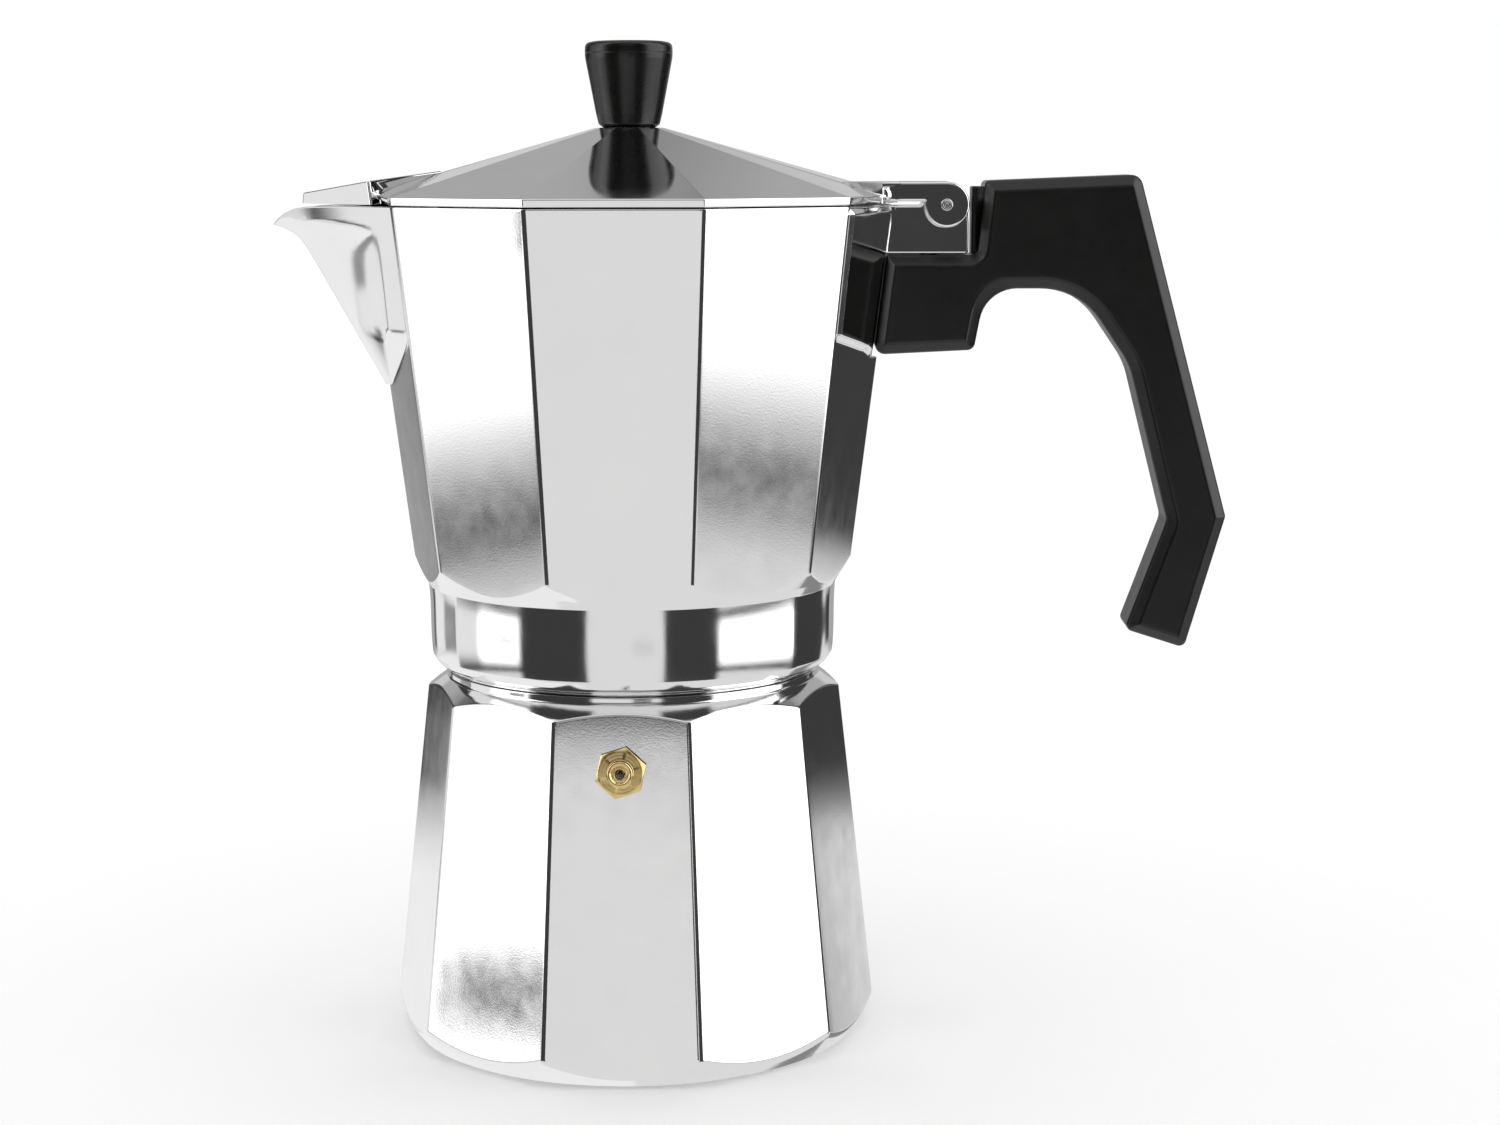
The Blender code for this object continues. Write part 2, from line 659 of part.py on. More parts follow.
def handle_pad():
    """A raised pad over the two flats beside the handle. Its chamfered foot falls towards the handle."""
    turn = 2 * math.pi / SIDES

    def ring(corner_z, middle_z, raise_by, reach):
        points = []
        for side in (1, -1):
            edge = chamber_edge_r(corner_z) + raise_by / APOTHEM
            angle = turn * reach
            along = edge * APOTHEM / math.cos(angle - turn / 2)
            far = (along * math.cos(angle), side * along * math.sin(angle), corner_z)
            points.append([(0.040, side * 0.018, corner_z), far])
        middle = (chamber_edge_r(middle_z) + raise_by / APOTHEM, 0, middle_z)
        return [*points[0], middle, *reversed(points[1])]

    top_z = CHAMBER_RIM_Z - 0.0045
    return loft(
        "handle_pad",
        [
            ring(PAD_CORNER_Z - PAD_FOOT, PAD_MIDDLE_Z - PAD_FOOT, -0.0008, 0.90),
            ring(PAD_CORNER_Z, PAD_MIDDLE_Z, PAD_RAISE, 0.97),
            ring(top_z, top_z, PAD_RAISE, 0.97),
            ring(top_z + 0.0030, top_z + 0.0030, -0.0008, 0.93),
        ],
    )


def land_cutter():
    """Flattens the body's edge where the handle and its bracket stand."""

    def ring(z):
        near, far = chamber_edge_r(z) - LAND_DEPTH, 0.09
        corners = [(near, -1), (far, -1), (far, 1), (near, 1)]
        return [(x, side * LAND_HALF_Y, z) for x, side in corners]

    return loft("handle_land", [ring(LAND_LOW_Z), ring(CHAMBER_RIM_Z + 0.002)])


def bracket_plate():
    root_x = chamber_edge_r(BRACKET_LOW_Z) - 0.0045
    outline = [
        (root_x, BRACKET_LOW_Z, 0),
        (root_x, BRACKET_TOP_Z - 0.0006, 0),
        (HINGE_X - TONGUE_R - 0.0010, BRACKET_TOP_Z - 0.0006, 0.0008),
        (HINGE_X - TONGUE_R, HINGE_Z + TONGUE_R, TONGUE_R * 0.9),
        (HINGE_X + TONGUE_R, HINGE_Z + TONGUE_R, TONGUE_R * 0.9),
        (BRACKET_END_X, HINGE_Z - TONGUE_R, 0.0010),
        (BRACKET_END_X, BRACKET_LOW_Z, 0.0008),
    ]
    return plate("bracket", rounded(outline), BRACKET_HALF_Y)


def wide_ring(z):
    """A ring that stands clear of the turned collar, with as many points as the chamber's rings."""
    scale = WIDE_R / chamber_edge_r(FLOOR_Z)
    return [(x * scale, y * scale, z) for x, y, _ in chamber_ring(FLOOR_Z)]


def make_collector():
    spout_heights = [SPOUT_FOOT_Z + rise for rise in SPOUT_RISES]
    rings = [wide_ring(COLLAR_FOOT_Z - 0.0018), wide_ring(COLLAR_TOP_Z - 0.0012)]
    rings += [chamber_ring(z) for z in (0.1170, *spout_heights, CHAMBER_RIM_Z + 0.002)]
    collector = loft("collector", rings, "cast")
    outline = [
        (0.0950, CHAMBER_RIM_Z),
        (0.0950, FLARE_Z + (0.0950 - FLARE_R) * FLARE_SLOPE),
        (FLARE_R, FLARE_Z),
        (COLLAR_TOP_R, COLLAR_TOP_Z),
        (COLLAR_LOW_R, COLLAR_Z),
        (COLLAR_LOW_R - 0.0012, COLLAR_Z - 0.0018),
        (COLLAR_FOOT_R, COLLAR_FOOT_Z),
    ]
    boolean(collector, solid_turned("collector_outline", outline), "INTERSECT")
    join(collector, handle_pad())
    boolean(collector, land_cutter())
    join(collector, bracket_plate())

    cavity = [chamber_ring(FLOOR_Z + rise, CHAMBER_WALL + inset) for rise, inset in FLOOR_FILLET]
    cavity += [chamber_ring(z + 0.0020, CHAMBER_WALL) for z in spout_heights]
    cavity.append(chamber_ring(CHAMBER_RIM_Z + 0.0045, CHAMBER_WALL))
    boolean(collector, loft("chamber_cavity", cavity))
    boolean(collector, spout_lip_cutter())

    recess = [
        (COLUMN_LOW_R + GAP, FLOOR_Z + 0.001),
        (COLUMN_LOW_R + GAP, CEILING_Z),
        (GASKET_R + GAP, CEILING_Z),
        (GASKET_R + GAP, GASKET_LOW_Z + 0.0010),
        (FEMALE_ROOT_R, GASKET_LOW_Z + 0.0004),
        (FEMALE_ROOT_R, COLLAR_FOOT_Z - 0.001),
    ]
    boolean(collector, solid_turned("collar_bore", recess))
    join(
        collector,
        thread_ridge("collar_thread", FEMALE_ROOT_R, FEMALE_CREST_R, THREAD_START + math.pi),
    )
    boolean(
        collector,
        cylinder("pin_hole", PIN_R + GAP, -0.02, 0.02, centre=(HINGE_X, HINGE_Z), axis="Y"),
    )
    boolean(
        collector,
        cylinder(
            "screw_hole",
            HANDLE_SCREW_R + GAP,
            BRACKET_LOW_Z - 0.002,
            BRACKET_LOW_Z + 0.0090,
            centre=(HANDLE_SCREW_X, 0),
        ),
    )
    hang(TOP_FRAME, collector)


def make_column():
    tube = turned(
        "column_tube",
        [
            (COLUMN_TOP_R, COLUMN_TOP_Z),
            (COLUMN_LOW_R, FLOOR_Z + 0.004),
            (COLUMN_FOOT_R, FLOOR_Z + COLUMN_FOOT),
            (COLUMN_FOOT_R, FLOOR_Z + GAP),
            (COLUMN_LOW_R, FLOOR_Z + GAP),
            (COLUMN_LOW_R, CEILING_Z + GAP),
            (COLUMN_BORE_R, CEILING_Z + GAP),
            (COLUMN_BORE_R, COLUMN_TOP_Z),
        ],
        "cast",
        FINE_SEGMENTS,
    )
    inner_r = COLUMN_TOP_R + GAP
    cap = turned(
        "column_cap",
        [
            (inner_r + 0.0003, CAP_HIGH_Z + 0.0012),
            (inner_r + CAP_SHEET, CAP_HIGH_Z),
            (inner_r + CAP_SHEET + 0.0002, CAP_LOW_Z),
            (inner_r + 0.0002, CAP_LOW_Z),
            (inner_r, CAP_HIGH_Z - 0.0004),
            (CAP_HOLE_R, CAP_HIGH_Z + 0.0002),
            (CAP_HOLE_R, CAP_HIGH_Z + 0.0012),
        ],
        "sheet",
        FINE_SEGMENTS,
    )
    port_z = COLUMN_TOP_Z + 0.0025
    ports = cylinder("cap_ports", CAP_PORT_R, -0.012, 0.012, (0, port_z), "Y", segments=12)
    boolean(cap, ports)
    hang(TOP_FRAME, tube, cap)


# ---------------------------------------------------------------- lid, knob and hinge


def beak_points(inset, drop):
    """Corners of the spout cover on the lid: a kite in plan, with upright walls and a roof that
    falls to the tip. The factors keep the inset walls parallel to the outer ones.
    """
    apex_x = BEAK_APEX_X - 1.18 * inset
    tip_x = BEAK_TIP_X + 1.35 * inset
    side_x, side_y = BEAK_SIDE_X - 0.14 * inset, BEAK_SIDE_Y - 1.65 * inset
    plan = [(apex_x, 0)]
    for side in (-1, 1):
        plan += [(side_x, side * side_y), (tip_x, side * BEAK_TIP_Y)]
    points = []
    for x, y in plan:
        roof_z = BEAK_TIP_Z + BEAK_SLOPE * (x - BEAK_TIP_X) - inset
        points += [(x, y, roof_z), (x, y, LID_LOW_Z - drop)]
    return points


def make_lid():
    lid = loft(
        "lid",
        [
            decagon(LID_LOW_Z, LID_R),
            decagon(LID_LOW_Z + LID_STRIP, LID_R),
            decagon(LID_SEAT_Z, LID_SEAT_R),
        ],
        "cast",
    )
    join(lid, hull("lid_beak", beak_points(0, 0)))
    web_end_x = LID_R + 0.0006
    arm = [
        (ARM_X, LUG_LOW_Z, 0),
        (ARM_X, LUG_TOP_Z, 0),
        (HINGE_X + LUG_R, LUG_TOP_Z, LUG_R * 0.98),
        (HINGE_X + LUG_R, HINGE_Z - LUG_R, LUG_R * 0.98),
        (HINGE_X - LUG_R, HINGE_Z - LUG_R, LUG_R * 0.98),
        (HINGE_X - LUG_R, LUG_LOW_Z, 0.0004),
    ]
    join(lid, plate("lid_lugs", rounded(arm, 8), LUG_Y_OUT))
    boolean(
        lid,
        box("lug_slot", (web_end_x, -LUG_Y_IN, 0.200), (0.100, LUG_Y_IN, 0.230)),
    )
    inner_low_r = LID_R - LID_WALL / APOTHEM
    hollow = [
        decagon(LID_LOW_Z - 0.001, inner_low_r),
        decagon(LID_LOW_Z + 0.0004, inner_low_r),
        decagon(LID_SEAT_Z - LID_WALL, LID_SEAT_R - 0.001),
    ]
    boolean(lid, loft("lid_hollow", hollow))
    boolean(lid, hull("beak_hollow", beak_points(BEAK_WALL, 0.002)))
    boolean(lid, cylinder("knob_screw_hole", 0.0023, LID_SEAT_Z - 0.01, LID_SEAT_Z + 0.001))
    boolean(
        lid,
        cylinder("lug_pin_hole", PIN_R + GAP, -0.02, 0.02, centre=(HINGE_X, HINGE_Z), axis="Y"),
    )
    hang(HINGE_FRAME, lid)


def make_hinge_pin():
    """A plain pin across the lugs, with a dimple in each end."""
    profile = [
        (0, PIN_HALF - PIN_DIMPLE),
        (PIN_DIMPLE_R, PIN_HALF),
        (PIN_R - PIN_EDGE, PIN_HALF),
        (PIN_R, PIN_HALF - PIN_EDGE),
        (PIN_R, PIN_EDGE - PIN_HALF),
        (PIN_R - PIN_EDGE, -PIN_HALF),
        (PIN_DIMPLE_R, -PIN_HALF),
        (0, PIN_DIMPLE - PIN_HALF),
    ]
    pin = turned("hinge_pin", profile, "steel", FINE_SEGMENTS, bored=False)
    pin.location = (HINGE_X, 0, HINGE_Z)
    pin.rotation_euler = (math.pi / 2, 0, 0)
    pin.parent = TOP_FRAME


def make_knob():
    crown_z = KNOB_TOP_Z - KNOB_CROWN
    knob = turned(
        "knob",
        [
            (KNOB_TOP_R - KNOB_EDGE * 1.6, crown_z),
            (KNOB_TOP_R - KNOB_EDGE * 0.5, crown_z - KNOB_EDGE * 0.35),
            (KNOB_TOP_R, crown_z - KNOB_EDGE * 1.2),
            (KNOB_TOP_R, KNOB_WIDEST_Z),
            (KNOB_LOW_R + 0.0006, KNOB_LOW_Z + 0.0030),
            (KNOB_LOW_R, KNOB_LOW_Z + 0.0008),
            (KNOB_LOW_R - 0.0006, KNOB_LOW_Z),
            (POCKET_R, KNOB_LOW_Z),
            (POCKET_R, POCKET_TOP_Z),
            (0, POCKET_TOP_Z),
            (0, KNOB_TOP_Z),
        ],
        "plastic",
        24,
    )
    insert = turned(
        "knob_insert",
        [
            (POCKET_R - GAP, POCKET_TOP_Z - 2 * GAP),
            (POCKET_R - GAP, KNOB_LOW_Z + 0.0004),
            (INSERT_R, KNOB_LOW_Z + 0.0004),
            (INSERT_R, POCKET_TOP_Z - 2 * GAP),
        ],
        "brass",
        16,
    )
    washer_top = LID_SEAT_Z - LID_WALL - GAP
    washer_low = washer_top - KNOB_WASHER
    washer = turned(
        "knob_washer",
        [
            (KNOB_WASHER_R, washer_top),
            (KNOB_WASHER_R, washer_low),
            (KNOB_SCREW_R + 0.0004, washer_low),
            (KNOB_SCREW_R + 0.0004, washer_top),
        ],
        "steel",
        FINE_SEGMENTS,
    )
    head_top = washer_low - GAP
    screw = solid_turned(
        "knob_screw",
        [
            (KNOB_SCREW_R, KNOB_LOW_Z + 0.0105),
            (KNOB_SCREW_R, head_top),
            (KNOB_HEAD_R, head_top),
            (KNOB_HEAD_R, head_top - 0.0012),
            (KNOB_HEAD_R - 0.0012, head_top - 0.0022),
        ],
        "steel",
        16,
    )
    hang(HINGE_FRAME, knob, insert, washer, screw)


# ---------------------------------------------------------------- handle


def handle_outline():
    face_x = chamber_edge_r(0.1725) - LAND_DEPTH + GAP
    shelf_face_x = chamber_edge_r(0.1972) - LAND_DEPTH + GAP
    return [
        (0.0881, 0.2154, 0.0008),
        (0.1263, 0.2169, 0.0030),
        (0.1491, 0.1320, 0.0020),
        (0.1394, 0.0986, 0.0015),
        (0.1243, 0.1034, 0.0015),
        (0.1343, 0.1308, 0.0040),
        (0.1243, 0.1700, 0.0200),
        (0.1115, 0.1889, 0.0180),
        (0.0886, 0.1889, 0.0095),
        (0.0857, 0.1737, 0.0018),
        (face_x, 0.1725, 0.0025),
        (shelf_face_x, 0.1972, 0.0004),
        (0.0862, 0.1972, 0.0022),
    ]


def make_handle():
    handle = plate("handle", rounded(handle_outline()), HANDLE_HALF_Y, HANDLE_EDGE, "plastic")
    join(handle, box("handle_web", WEB_LOW, WEB_HIGH))
    spot = (HANDLE_SCREW_X, 0)
    boolean(handle, cylinder("handle_screw_bore", HANDLE_BORE_R, 0.165, HANDLE_HEAD_Z, spot))
    boolean(handle, cylinder("handle_shank_bore", HANDLE_SCREW_R + GAP, 0.170, 0.200, spot))
    hang(TOP_FRAME, handle)
    washer_top = HANDLE_HEAD_Z - GAP
    washer_low = washer_top - HANDLE_WASHER
    washer = turned(
        "handle_washer",
        [
            (HANDLE_WASHER_R, washer_top),
            (HANDLE_WASHER_R, washer_low),
            (HANDLE_SCREW_R + GAP, washer_low),
            (HANDLE_SCREW_R + GAP, washer_top),
        ],
        "steel",
        FINE_SEGMENTS,
    )
    head_top = washer_low - GAP
    screw = solid_turned(
        "handle_screw",
        [
            (HANDLE_SCREW_R, BRACKET_LOW_Z + 0.0080),
            (HANDLE_SCREW_R, head_top),
            (HANDLE_HEAD_R, head_top),
            (HANDLE_HEAD_R, head_top - 0.0016),
            (HANDLE_HEAD_R - 0.0011, head_top - 0.0026),
        ],
        "steel",
        FINE_SEGMENTS,
    )
    for piece in (washer, screw):
        piece.location = (HANDLE_SCREW_X, 0, 0)
        piece.parent = TOP_FRAME


clear_scene()
PARTS = new_collection("moka_pot")
CUTTERS = new_collection("cutters")
FINISH = {
    "cast": new_material("polished_cast_aluminium", (0.80, 0.80, 0.81), 1.0, 0.16),
    "sheet": new_material("pressed_aluminium", (0.78, 0.78, 0.78), 1.0, 0.30),
    "plastic": new_material("black_plastic", (0.018, 0.017, 0.016), 0.0, 0.38),
    "brass": new_material("brass", (0.78, 0.57, 0.24), 1.0, 0.25),
    "steel": new_material("steel", (0.60, 0.60, 0.61), 1.0, 0.28),
    "seal": new_material("silicone", (0.85, 0.84, 0.80), 0.0, 0.55),
}
VALVE_FRAME = valve_frame()
TOP_FRAME = new_frame("top_frame", (0, 0, 0))
HINGE_FRAME = new_frame("hinge_frame", (HINGE_X, 0, HINGE_Z), TOP_FRAME)
make_boiler(VALVE_FRAME)
make_valve(VALVE_FRAME)
make_funnel()
make_filter()
make_collector()
make_column()
make_lid()
make_hinge_pin()
make_knob()
make_handle()
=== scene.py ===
"""Looks of the stovetop moka pot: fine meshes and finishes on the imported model, a studio, a camera.

All lengths are in metres, in the frame of the model: +Z up, spout to -X, handle to +X, valve to -Y.
"""

import math

import bmesh
import bpy
from mathutils import Matrix, Vector


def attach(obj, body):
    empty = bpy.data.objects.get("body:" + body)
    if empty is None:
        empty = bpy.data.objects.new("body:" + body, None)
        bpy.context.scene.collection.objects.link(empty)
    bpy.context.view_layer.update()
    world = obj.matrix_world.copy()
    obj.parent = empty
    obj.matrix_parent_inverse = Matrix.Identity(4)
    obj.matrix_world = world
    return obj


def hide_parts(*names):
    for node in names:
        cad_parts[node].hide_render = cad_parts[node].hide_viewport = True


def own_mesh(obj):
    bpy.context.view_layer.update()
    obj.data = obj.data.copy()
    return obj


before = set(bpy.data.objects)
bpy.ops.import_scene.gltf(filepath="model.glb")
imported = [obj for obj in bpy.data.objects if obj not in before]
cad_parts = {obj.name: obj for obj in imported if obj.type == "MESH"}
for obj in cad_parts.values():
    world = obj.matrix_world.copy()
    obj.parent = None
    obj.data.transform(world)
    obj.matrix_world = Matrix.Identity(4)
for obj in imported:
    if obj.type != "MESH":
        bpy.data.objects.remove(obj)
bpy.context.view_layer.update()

# ---------------------------------------------------------------- sizes, as in the model

SIDES = 10
TURN = 2 * math.pi / SIDES
APOTHEM = math.cos(TURN / 2)
GAP = 0.0003
EDGE_ROUND = 0.050  # of a body whose sharp edges stand at radius 1
ARC_STEPS = 6
FILLET_STEPS = 5

BASE_R = 0.0567
BOILER_LOW = (0.0064, 0.0616)
BOILER_TOP = (0.0878, 0.0526)
BOILER_RING = (0.0917, 0.0471)
NECK_Z, NECK_R = 0.0934, 0.0440
NECK_TOP_Z, NECK_BORE_R = 0.1075, 0.0400
BOILER_WALL = 0.0035

THREAD_LEAD, THREAD_TURNS = 0.003, 2.5
THREAD_Z = 0.0962
MALE_RISE, FEMALE_RISE = 0.0010, 0.00125

COLLAR_FOOT = (0.0938, 0.0470)
COLLAR_LOW = (0.0974, 0.0508)
COLLAR_TOP = (0.1152, 0.05155)
COLLAR_CROWN = 0.034
CONE_FOOT = (0.1174, 0.0528)
CONE_SLOPE = 1.39
CHAMBER_LOW = (0.1213, 0.0556)
CHAMBER_RIM = (0.2097, 0.0668)
CHAMBER_WALL = 0.0027
FEMALE_ROOT_R = 0.0466
CEILING_Z, FLOOR_Z = 0.1122, 0.1190
GASKET_R, GASKET_IN_R = 0.0430, 0.0350
GASKET_LOW_Z, GASKET_TOP_Z = 0.1089, 0.1119
COLUMN_LOW_R, COLUMN_TOP_R, COLUMN_BORE_R, COLUMN_TOP_Z = 0.0078, 0.0066, 0.0050, 0.1940

SPOUT_FOOT_Z, SPOUT_SIDE_Z = 0.1647, 0.1780
SPOUT_LOW_SHARE, SPOUT_MID_SHARE, SPOUT_SHARE = 0.08, 0.74, 0.835
SPOUT_MID_BULGE, SPOUT_BULGE = 0.0040, 0.00265
SPOUT_RAKE, SPOUT_FLARE = 0.56, 0.0015
SPOUT_TIP = (-0.0894, 0.2047)

LID_R, LID_LOW_Z, LID_STRIP, LID_WALL = 0.0671, 0.2100, 0.0019, 0.0020
LID_SEAT = (0.2285, 0.0085)
LID_EDGE_ROUND, STRIP_DRAFT = 0.010, 0.00020
BEAK_APEX_X, BEAK_TIP_X, BEAK_TIP_Y, BEAK_TIP_Z = -0.0470, -0.0815, 0.0016, 0.2126
BEAK_SIDE_X, BEAK_SIDE_Y, BEAK_SLOPE, BEAK_WALL = -0.0618, 0.0235, 0.1565, 0.0016
BEAK_DRAFT = (0.0014, (0.0008, 0.0010), 0.0002)
SIDE_DRAFT = math.tan(math.radians(2.2))
HINGE_X, HINGE_Z = 0.0786, 0.2096
LUG_R, LUG_Y_IN, LUG_Y_OUT = 0.0056, 0.0065, 0.0100
LUG_TOP_Z, LUG_LOW_Z, PIN_R = 0.2152, 0.2104, 0.0015

BRACKET_END_X, BRACKET_LOW_Z, BRACKET_TOP_Z = 0.0842, 0.1975, 0.2094
BRACKET_HALF_Y, TONGUE_R = 0.0062, 0.0050
LAND_DEPTH, LAND_HALF_Y, LAND_LOW_Z = 0.0016, 0.0135, 0.1715
PAD_RAISE, PAD_CORNER_Z, PAD_MIDDLE_Z, PAD_FOOT = 0.0012, 0.1792, 0.1732, 0.0014

HANDLE_HALF_Y, HANDLE_EDGE = 0.0100, 0.0026
HANDLE_SCREW_X, HANDLE_HEAD_Z = 0.0745, 0.1835
SCREW_HOLE_R, HEAD_HOLE_R = 0.0023, 0.0044
WEB_CORNERS = ((0.0850, 0.1955), (0.0895, 0.1955), (0.0895, 0.2140), (0.0850, 0.2140))
WEB_HALF_Y, WEB_EDGE = 0.0045, 0.0004

BASKET_R, BASKET_SHEET, BASKET_FLANGE_R, BASKET_LOW_Z = 0.0393, 0.0008, 0.0434, 0.0790
STEM_R, STEM_LOW_Z, STEM_TOP_Z = 0.0056, 0.0120, 0.0690
PLATE_R, PLATE_Z = 0.0346, 0.1096
HOLE_DEPTH = 0.004

KNOB_LOW_Z, KNOB_TOP_Z, KNOB_LOW_R, KNOB_TOP_R = 0.2288, 0.2500, 0.0076, 0.0109

VALVE_Z, HEX_FLATS, HEX_LOW, HEX_TOP, VALVE_TOP = 0.0764, 0.0110, 0.0014, 0.0050, 0.0074
HEX_TURN = math.radians(17 + 0.9)
VALVE_PATCH = 0.0065


def between(z, low, high):
    """Radius at height z on the straight line through two (z, radius) pairs."""
    return low[1] + (high[1] - low[1]) * (z - low[0]) / (high[0] - low[0])


def boiler_edge(z):
    """How far the boiler's sharp edges would stand from the axis at height z."""
    return between(z, BOILER_LOW, BOILER_TOP)


def chamber_edge(z):
    """How far the upper chamber's sharp edges would stand from the axis at height z."""
    return between(z, CHAMBER_LOW, CHAMBER_RIM)


# ---------------------------------------------------------------- mesh helpers


def to_object(name, bm, material, weighted=True):
    """A shown piece from a bmesh, smooth, with normals that keep its flats flat."""
    bmesh.ops.recalc_face_normals(bm, faces=bm.faces)
    for face in bm.faces:
        face.smooth = True
    mesh = bpy.data.meshes.new(name)
    bm.to_mesh(mesh)
    bm.free()
    mesh.materials.append(material)
    obj = bpy.data.objects.new(name, mesh)
    bpy.context.scene.collection.objects.link(obj)
    if weighted:
        flatten_normals(obj)
    return obj


def flatten_normals(obj):
    """Lets the larger faces set the normals of a smooth mesh."""
    modifier = obj.modifiers.new("flat_faces", "WEIGHTED_NORMAL")
    modifier.weight = 100
    modifier.keep_sharp = True


def loft(rings, cap=True, wrap=False):
    """A bmesh through rings of equal length. wrap joins the last ring to the first."""
    bm = bmesh.new()
    layers = [[bm.verts.new(point) for point in ring] for ring in rings]
    pairs = list(zip(layers, layers[1:]))
    if wrap:
        pairs.append((layers[-1], layers[0]))
    for low, high in pairs:
        for i in range(len(low)):
            j = (i + 1) % len(low)
            bm.faces.new((low[i], low[j], high[j], high[i]))
    if cap and not wrap:
        bm.faces.new(layers[0])
        bm.faces.new(layers[-1])
    return bm


def close_poles(bm):
    """Welds the points that sit together on the axis and drops the faces that vanish."""
    bmesh.ops.remove_doubles(bm, verts=bm.verts, dist=2e-6)
    bmesh.ops.dissolve_degenerate(bm, edges=bm.edges, dist=1e-7)
    return bm


def rounded(outline, steps=FILLET_STEPS, closed=True):
    """2D points of an (a, b, radius) outline, each corner turned into an arc of steps + 1 points."""
    points = []
    count = len(outline)
    for i, (a, b, radius) in enumerate(outline):
        corner = Vector((a, b))
        if not closed and i in (0, count - 1):
            points.append(corner)
            continue
        back = Vector(outline[i - 1][:2]) - corner
        ahead = Vector(outline[(i + 1) % count][:2]) - corner
        reach = 0.499 * min(back.length, ahead.length)
        half = back.angle(ahead, math.pi) / 2
        if half > math.radians(89.5) or radius <= 0 or reach <= 0:
            points += [corner] * (steps + 1)
            continue
        tangent = min(radius / math.tan(half), reach)
        back.normalize()
        ahead.normalize()
        for k in range(steps + 1):
            t = k / steps
            start, end = corner + back * tangent, corner + ahead * tangent
            weight = math.sin(half)
            low, mid, high = (1 - t) ** 2, 2 * weight * t * (1 - t), t**2
            points.append((low * start + mid * corner + high * end) / (low + mid + high))
    return points


def turned(name, outline, material, segments=96, place=None, steps=FILLET_STEPS, closed=True):
    """Turns a (radius, z, fillet) outline about Z. An open outline starts and ends on the axis."""
    profile = rounded(outline, steps, closed)
    rings = []
    for i in range(segments):
        angle = 2 * math.pi * (i + 0.5) / segments
        rings.append([(r * math.cos(angle), r * math.sin(angle), z) for r, z in profile])
    bm = bmesh.new()
    columns = [[bm.verts.new(point) for point in ring] for ring in rings]
    for i in range(segments):
        near, far = columns[i], columns[(i + 1) % segments]
        for k in range(len(profile) - (0 if closed else 1)):
            n = (k + 1) % len(profile)
            bm.faces.new((near[k], far[k], far[n], near[n]))
    close_poles(bm)
    if place:
        bmesh.ops.transform(bm, matrix=place, verts=bm.verts)
    return to_object(name, bm, material)


def shift_outline(outline, inset):
    """The corners of an (a, b, radius) outline after its sides move inwards."""
    area = sum(
        outline[i - 1][0] * outline[i][1] - outline[i][0] * outline[i - 1][1]
        for i in range(len(outline))
    )
    side = 1 if area > 0 else -1
    moved = []
    for i, (a, b, radius) in enumerate(outline):
        corner = Vector((a, b))
        back = (corner - Vector(outline[i - 1][:2])).normalized()
        ahead = (Vector(outline[(i + 1) % len(outline)][:2]) - corner).normalized()
        normal_back = Vector((-back.y, back.x)) * side
        normal_ahead = Vector((-ahead.y, ahead.x)) * side
        move = (normal_back + normal_ahead) / (1 + normal_back.dot(normal_ahead))
        convex = back.cross(ahead) * side > 0
        new_radius = max(radius - inset, 0.00005) if convex else radius + inset
        spot = corner + move * inset
        moved.append((spot.x, spot.y, new_radius))
    return moved


def slab(outline, half_y, edge, steps=8, edge_steps=4):
    """A plate in XZ with rounded corners and quarter-round edges, as a bmesh."""
    rings = []
    for side in (-1, 1):
        layers = []
        for k in range(edge_steps + 1):
            angle = math.pi / 2 * k / edge_steps
            inset = edge * (1 - math.cos(angle))
            y = half_y - edge + edge * math.sin(angle)
            shape = rounded(shift_outline(outline, inset), steps)
            layers.append([(x, side * y, z) for x, z in shape])
        rings += layers[::-1] if side < 0 else layers
    return close_poles(loft(rings))


def helper(name, bm):
    """A hidden mesh for a Boolean."""
    bmesh.ops.recalc_face_normals(bm, faces=bm.faces)
    mesh = bpy.data.meshes.new(name)
    bm.to_mesh(mesh)
    bm.free()
    obj = bpy.data.objects.new(name, mesh)
    bpy.context.scene.collection.objects.link(obj)
    return obj


def combine(obj, others, operation="DIFFERENCE"):
    """Applies Booleans on obj with the helpers, then removes them."""
    for other in others:
        modifier = obj.modifiers.new("cut", "BOOLEAN")
        modifier.operation = operation
        modifier.object = other
        modifier.solver = "EXACT"
        while obj.modifiers[0] != modifier:
            obj.modifiers.move(obj.modifiers.find(modifier.name), 0)
        apply_first(obj)
        bpy.data.objects.remove(other)
    for polygon in obj.data.polygons:
        polygon.use_smooth = True


def flatten_sides(obj, min_area=2e-6):
    """Shades the flats that look along Y or down as flat, so that the edges round them stay crisp."""
    for polygon in obj.data.polygons:
        sideways = abs(polygon.normal.y) > math.cos(math.atan(SIDE_DRAFT) + 0.002)
        down = polygon.normal.z < -0.2
        if (sideways or down) and polygon.area > min_area and len(polygon.vertices) > 4:
            polygon.use_smooth = False


def apply_first(obj):
    """Applies the first modifier."""
    bpy.context.view_layer.objects.active = obj
    with bpy.context.temp_override(object=obj, active_object=obj):
        bpy.ops.object.modifier_apply(modifier=obj.modifiers[0].name)


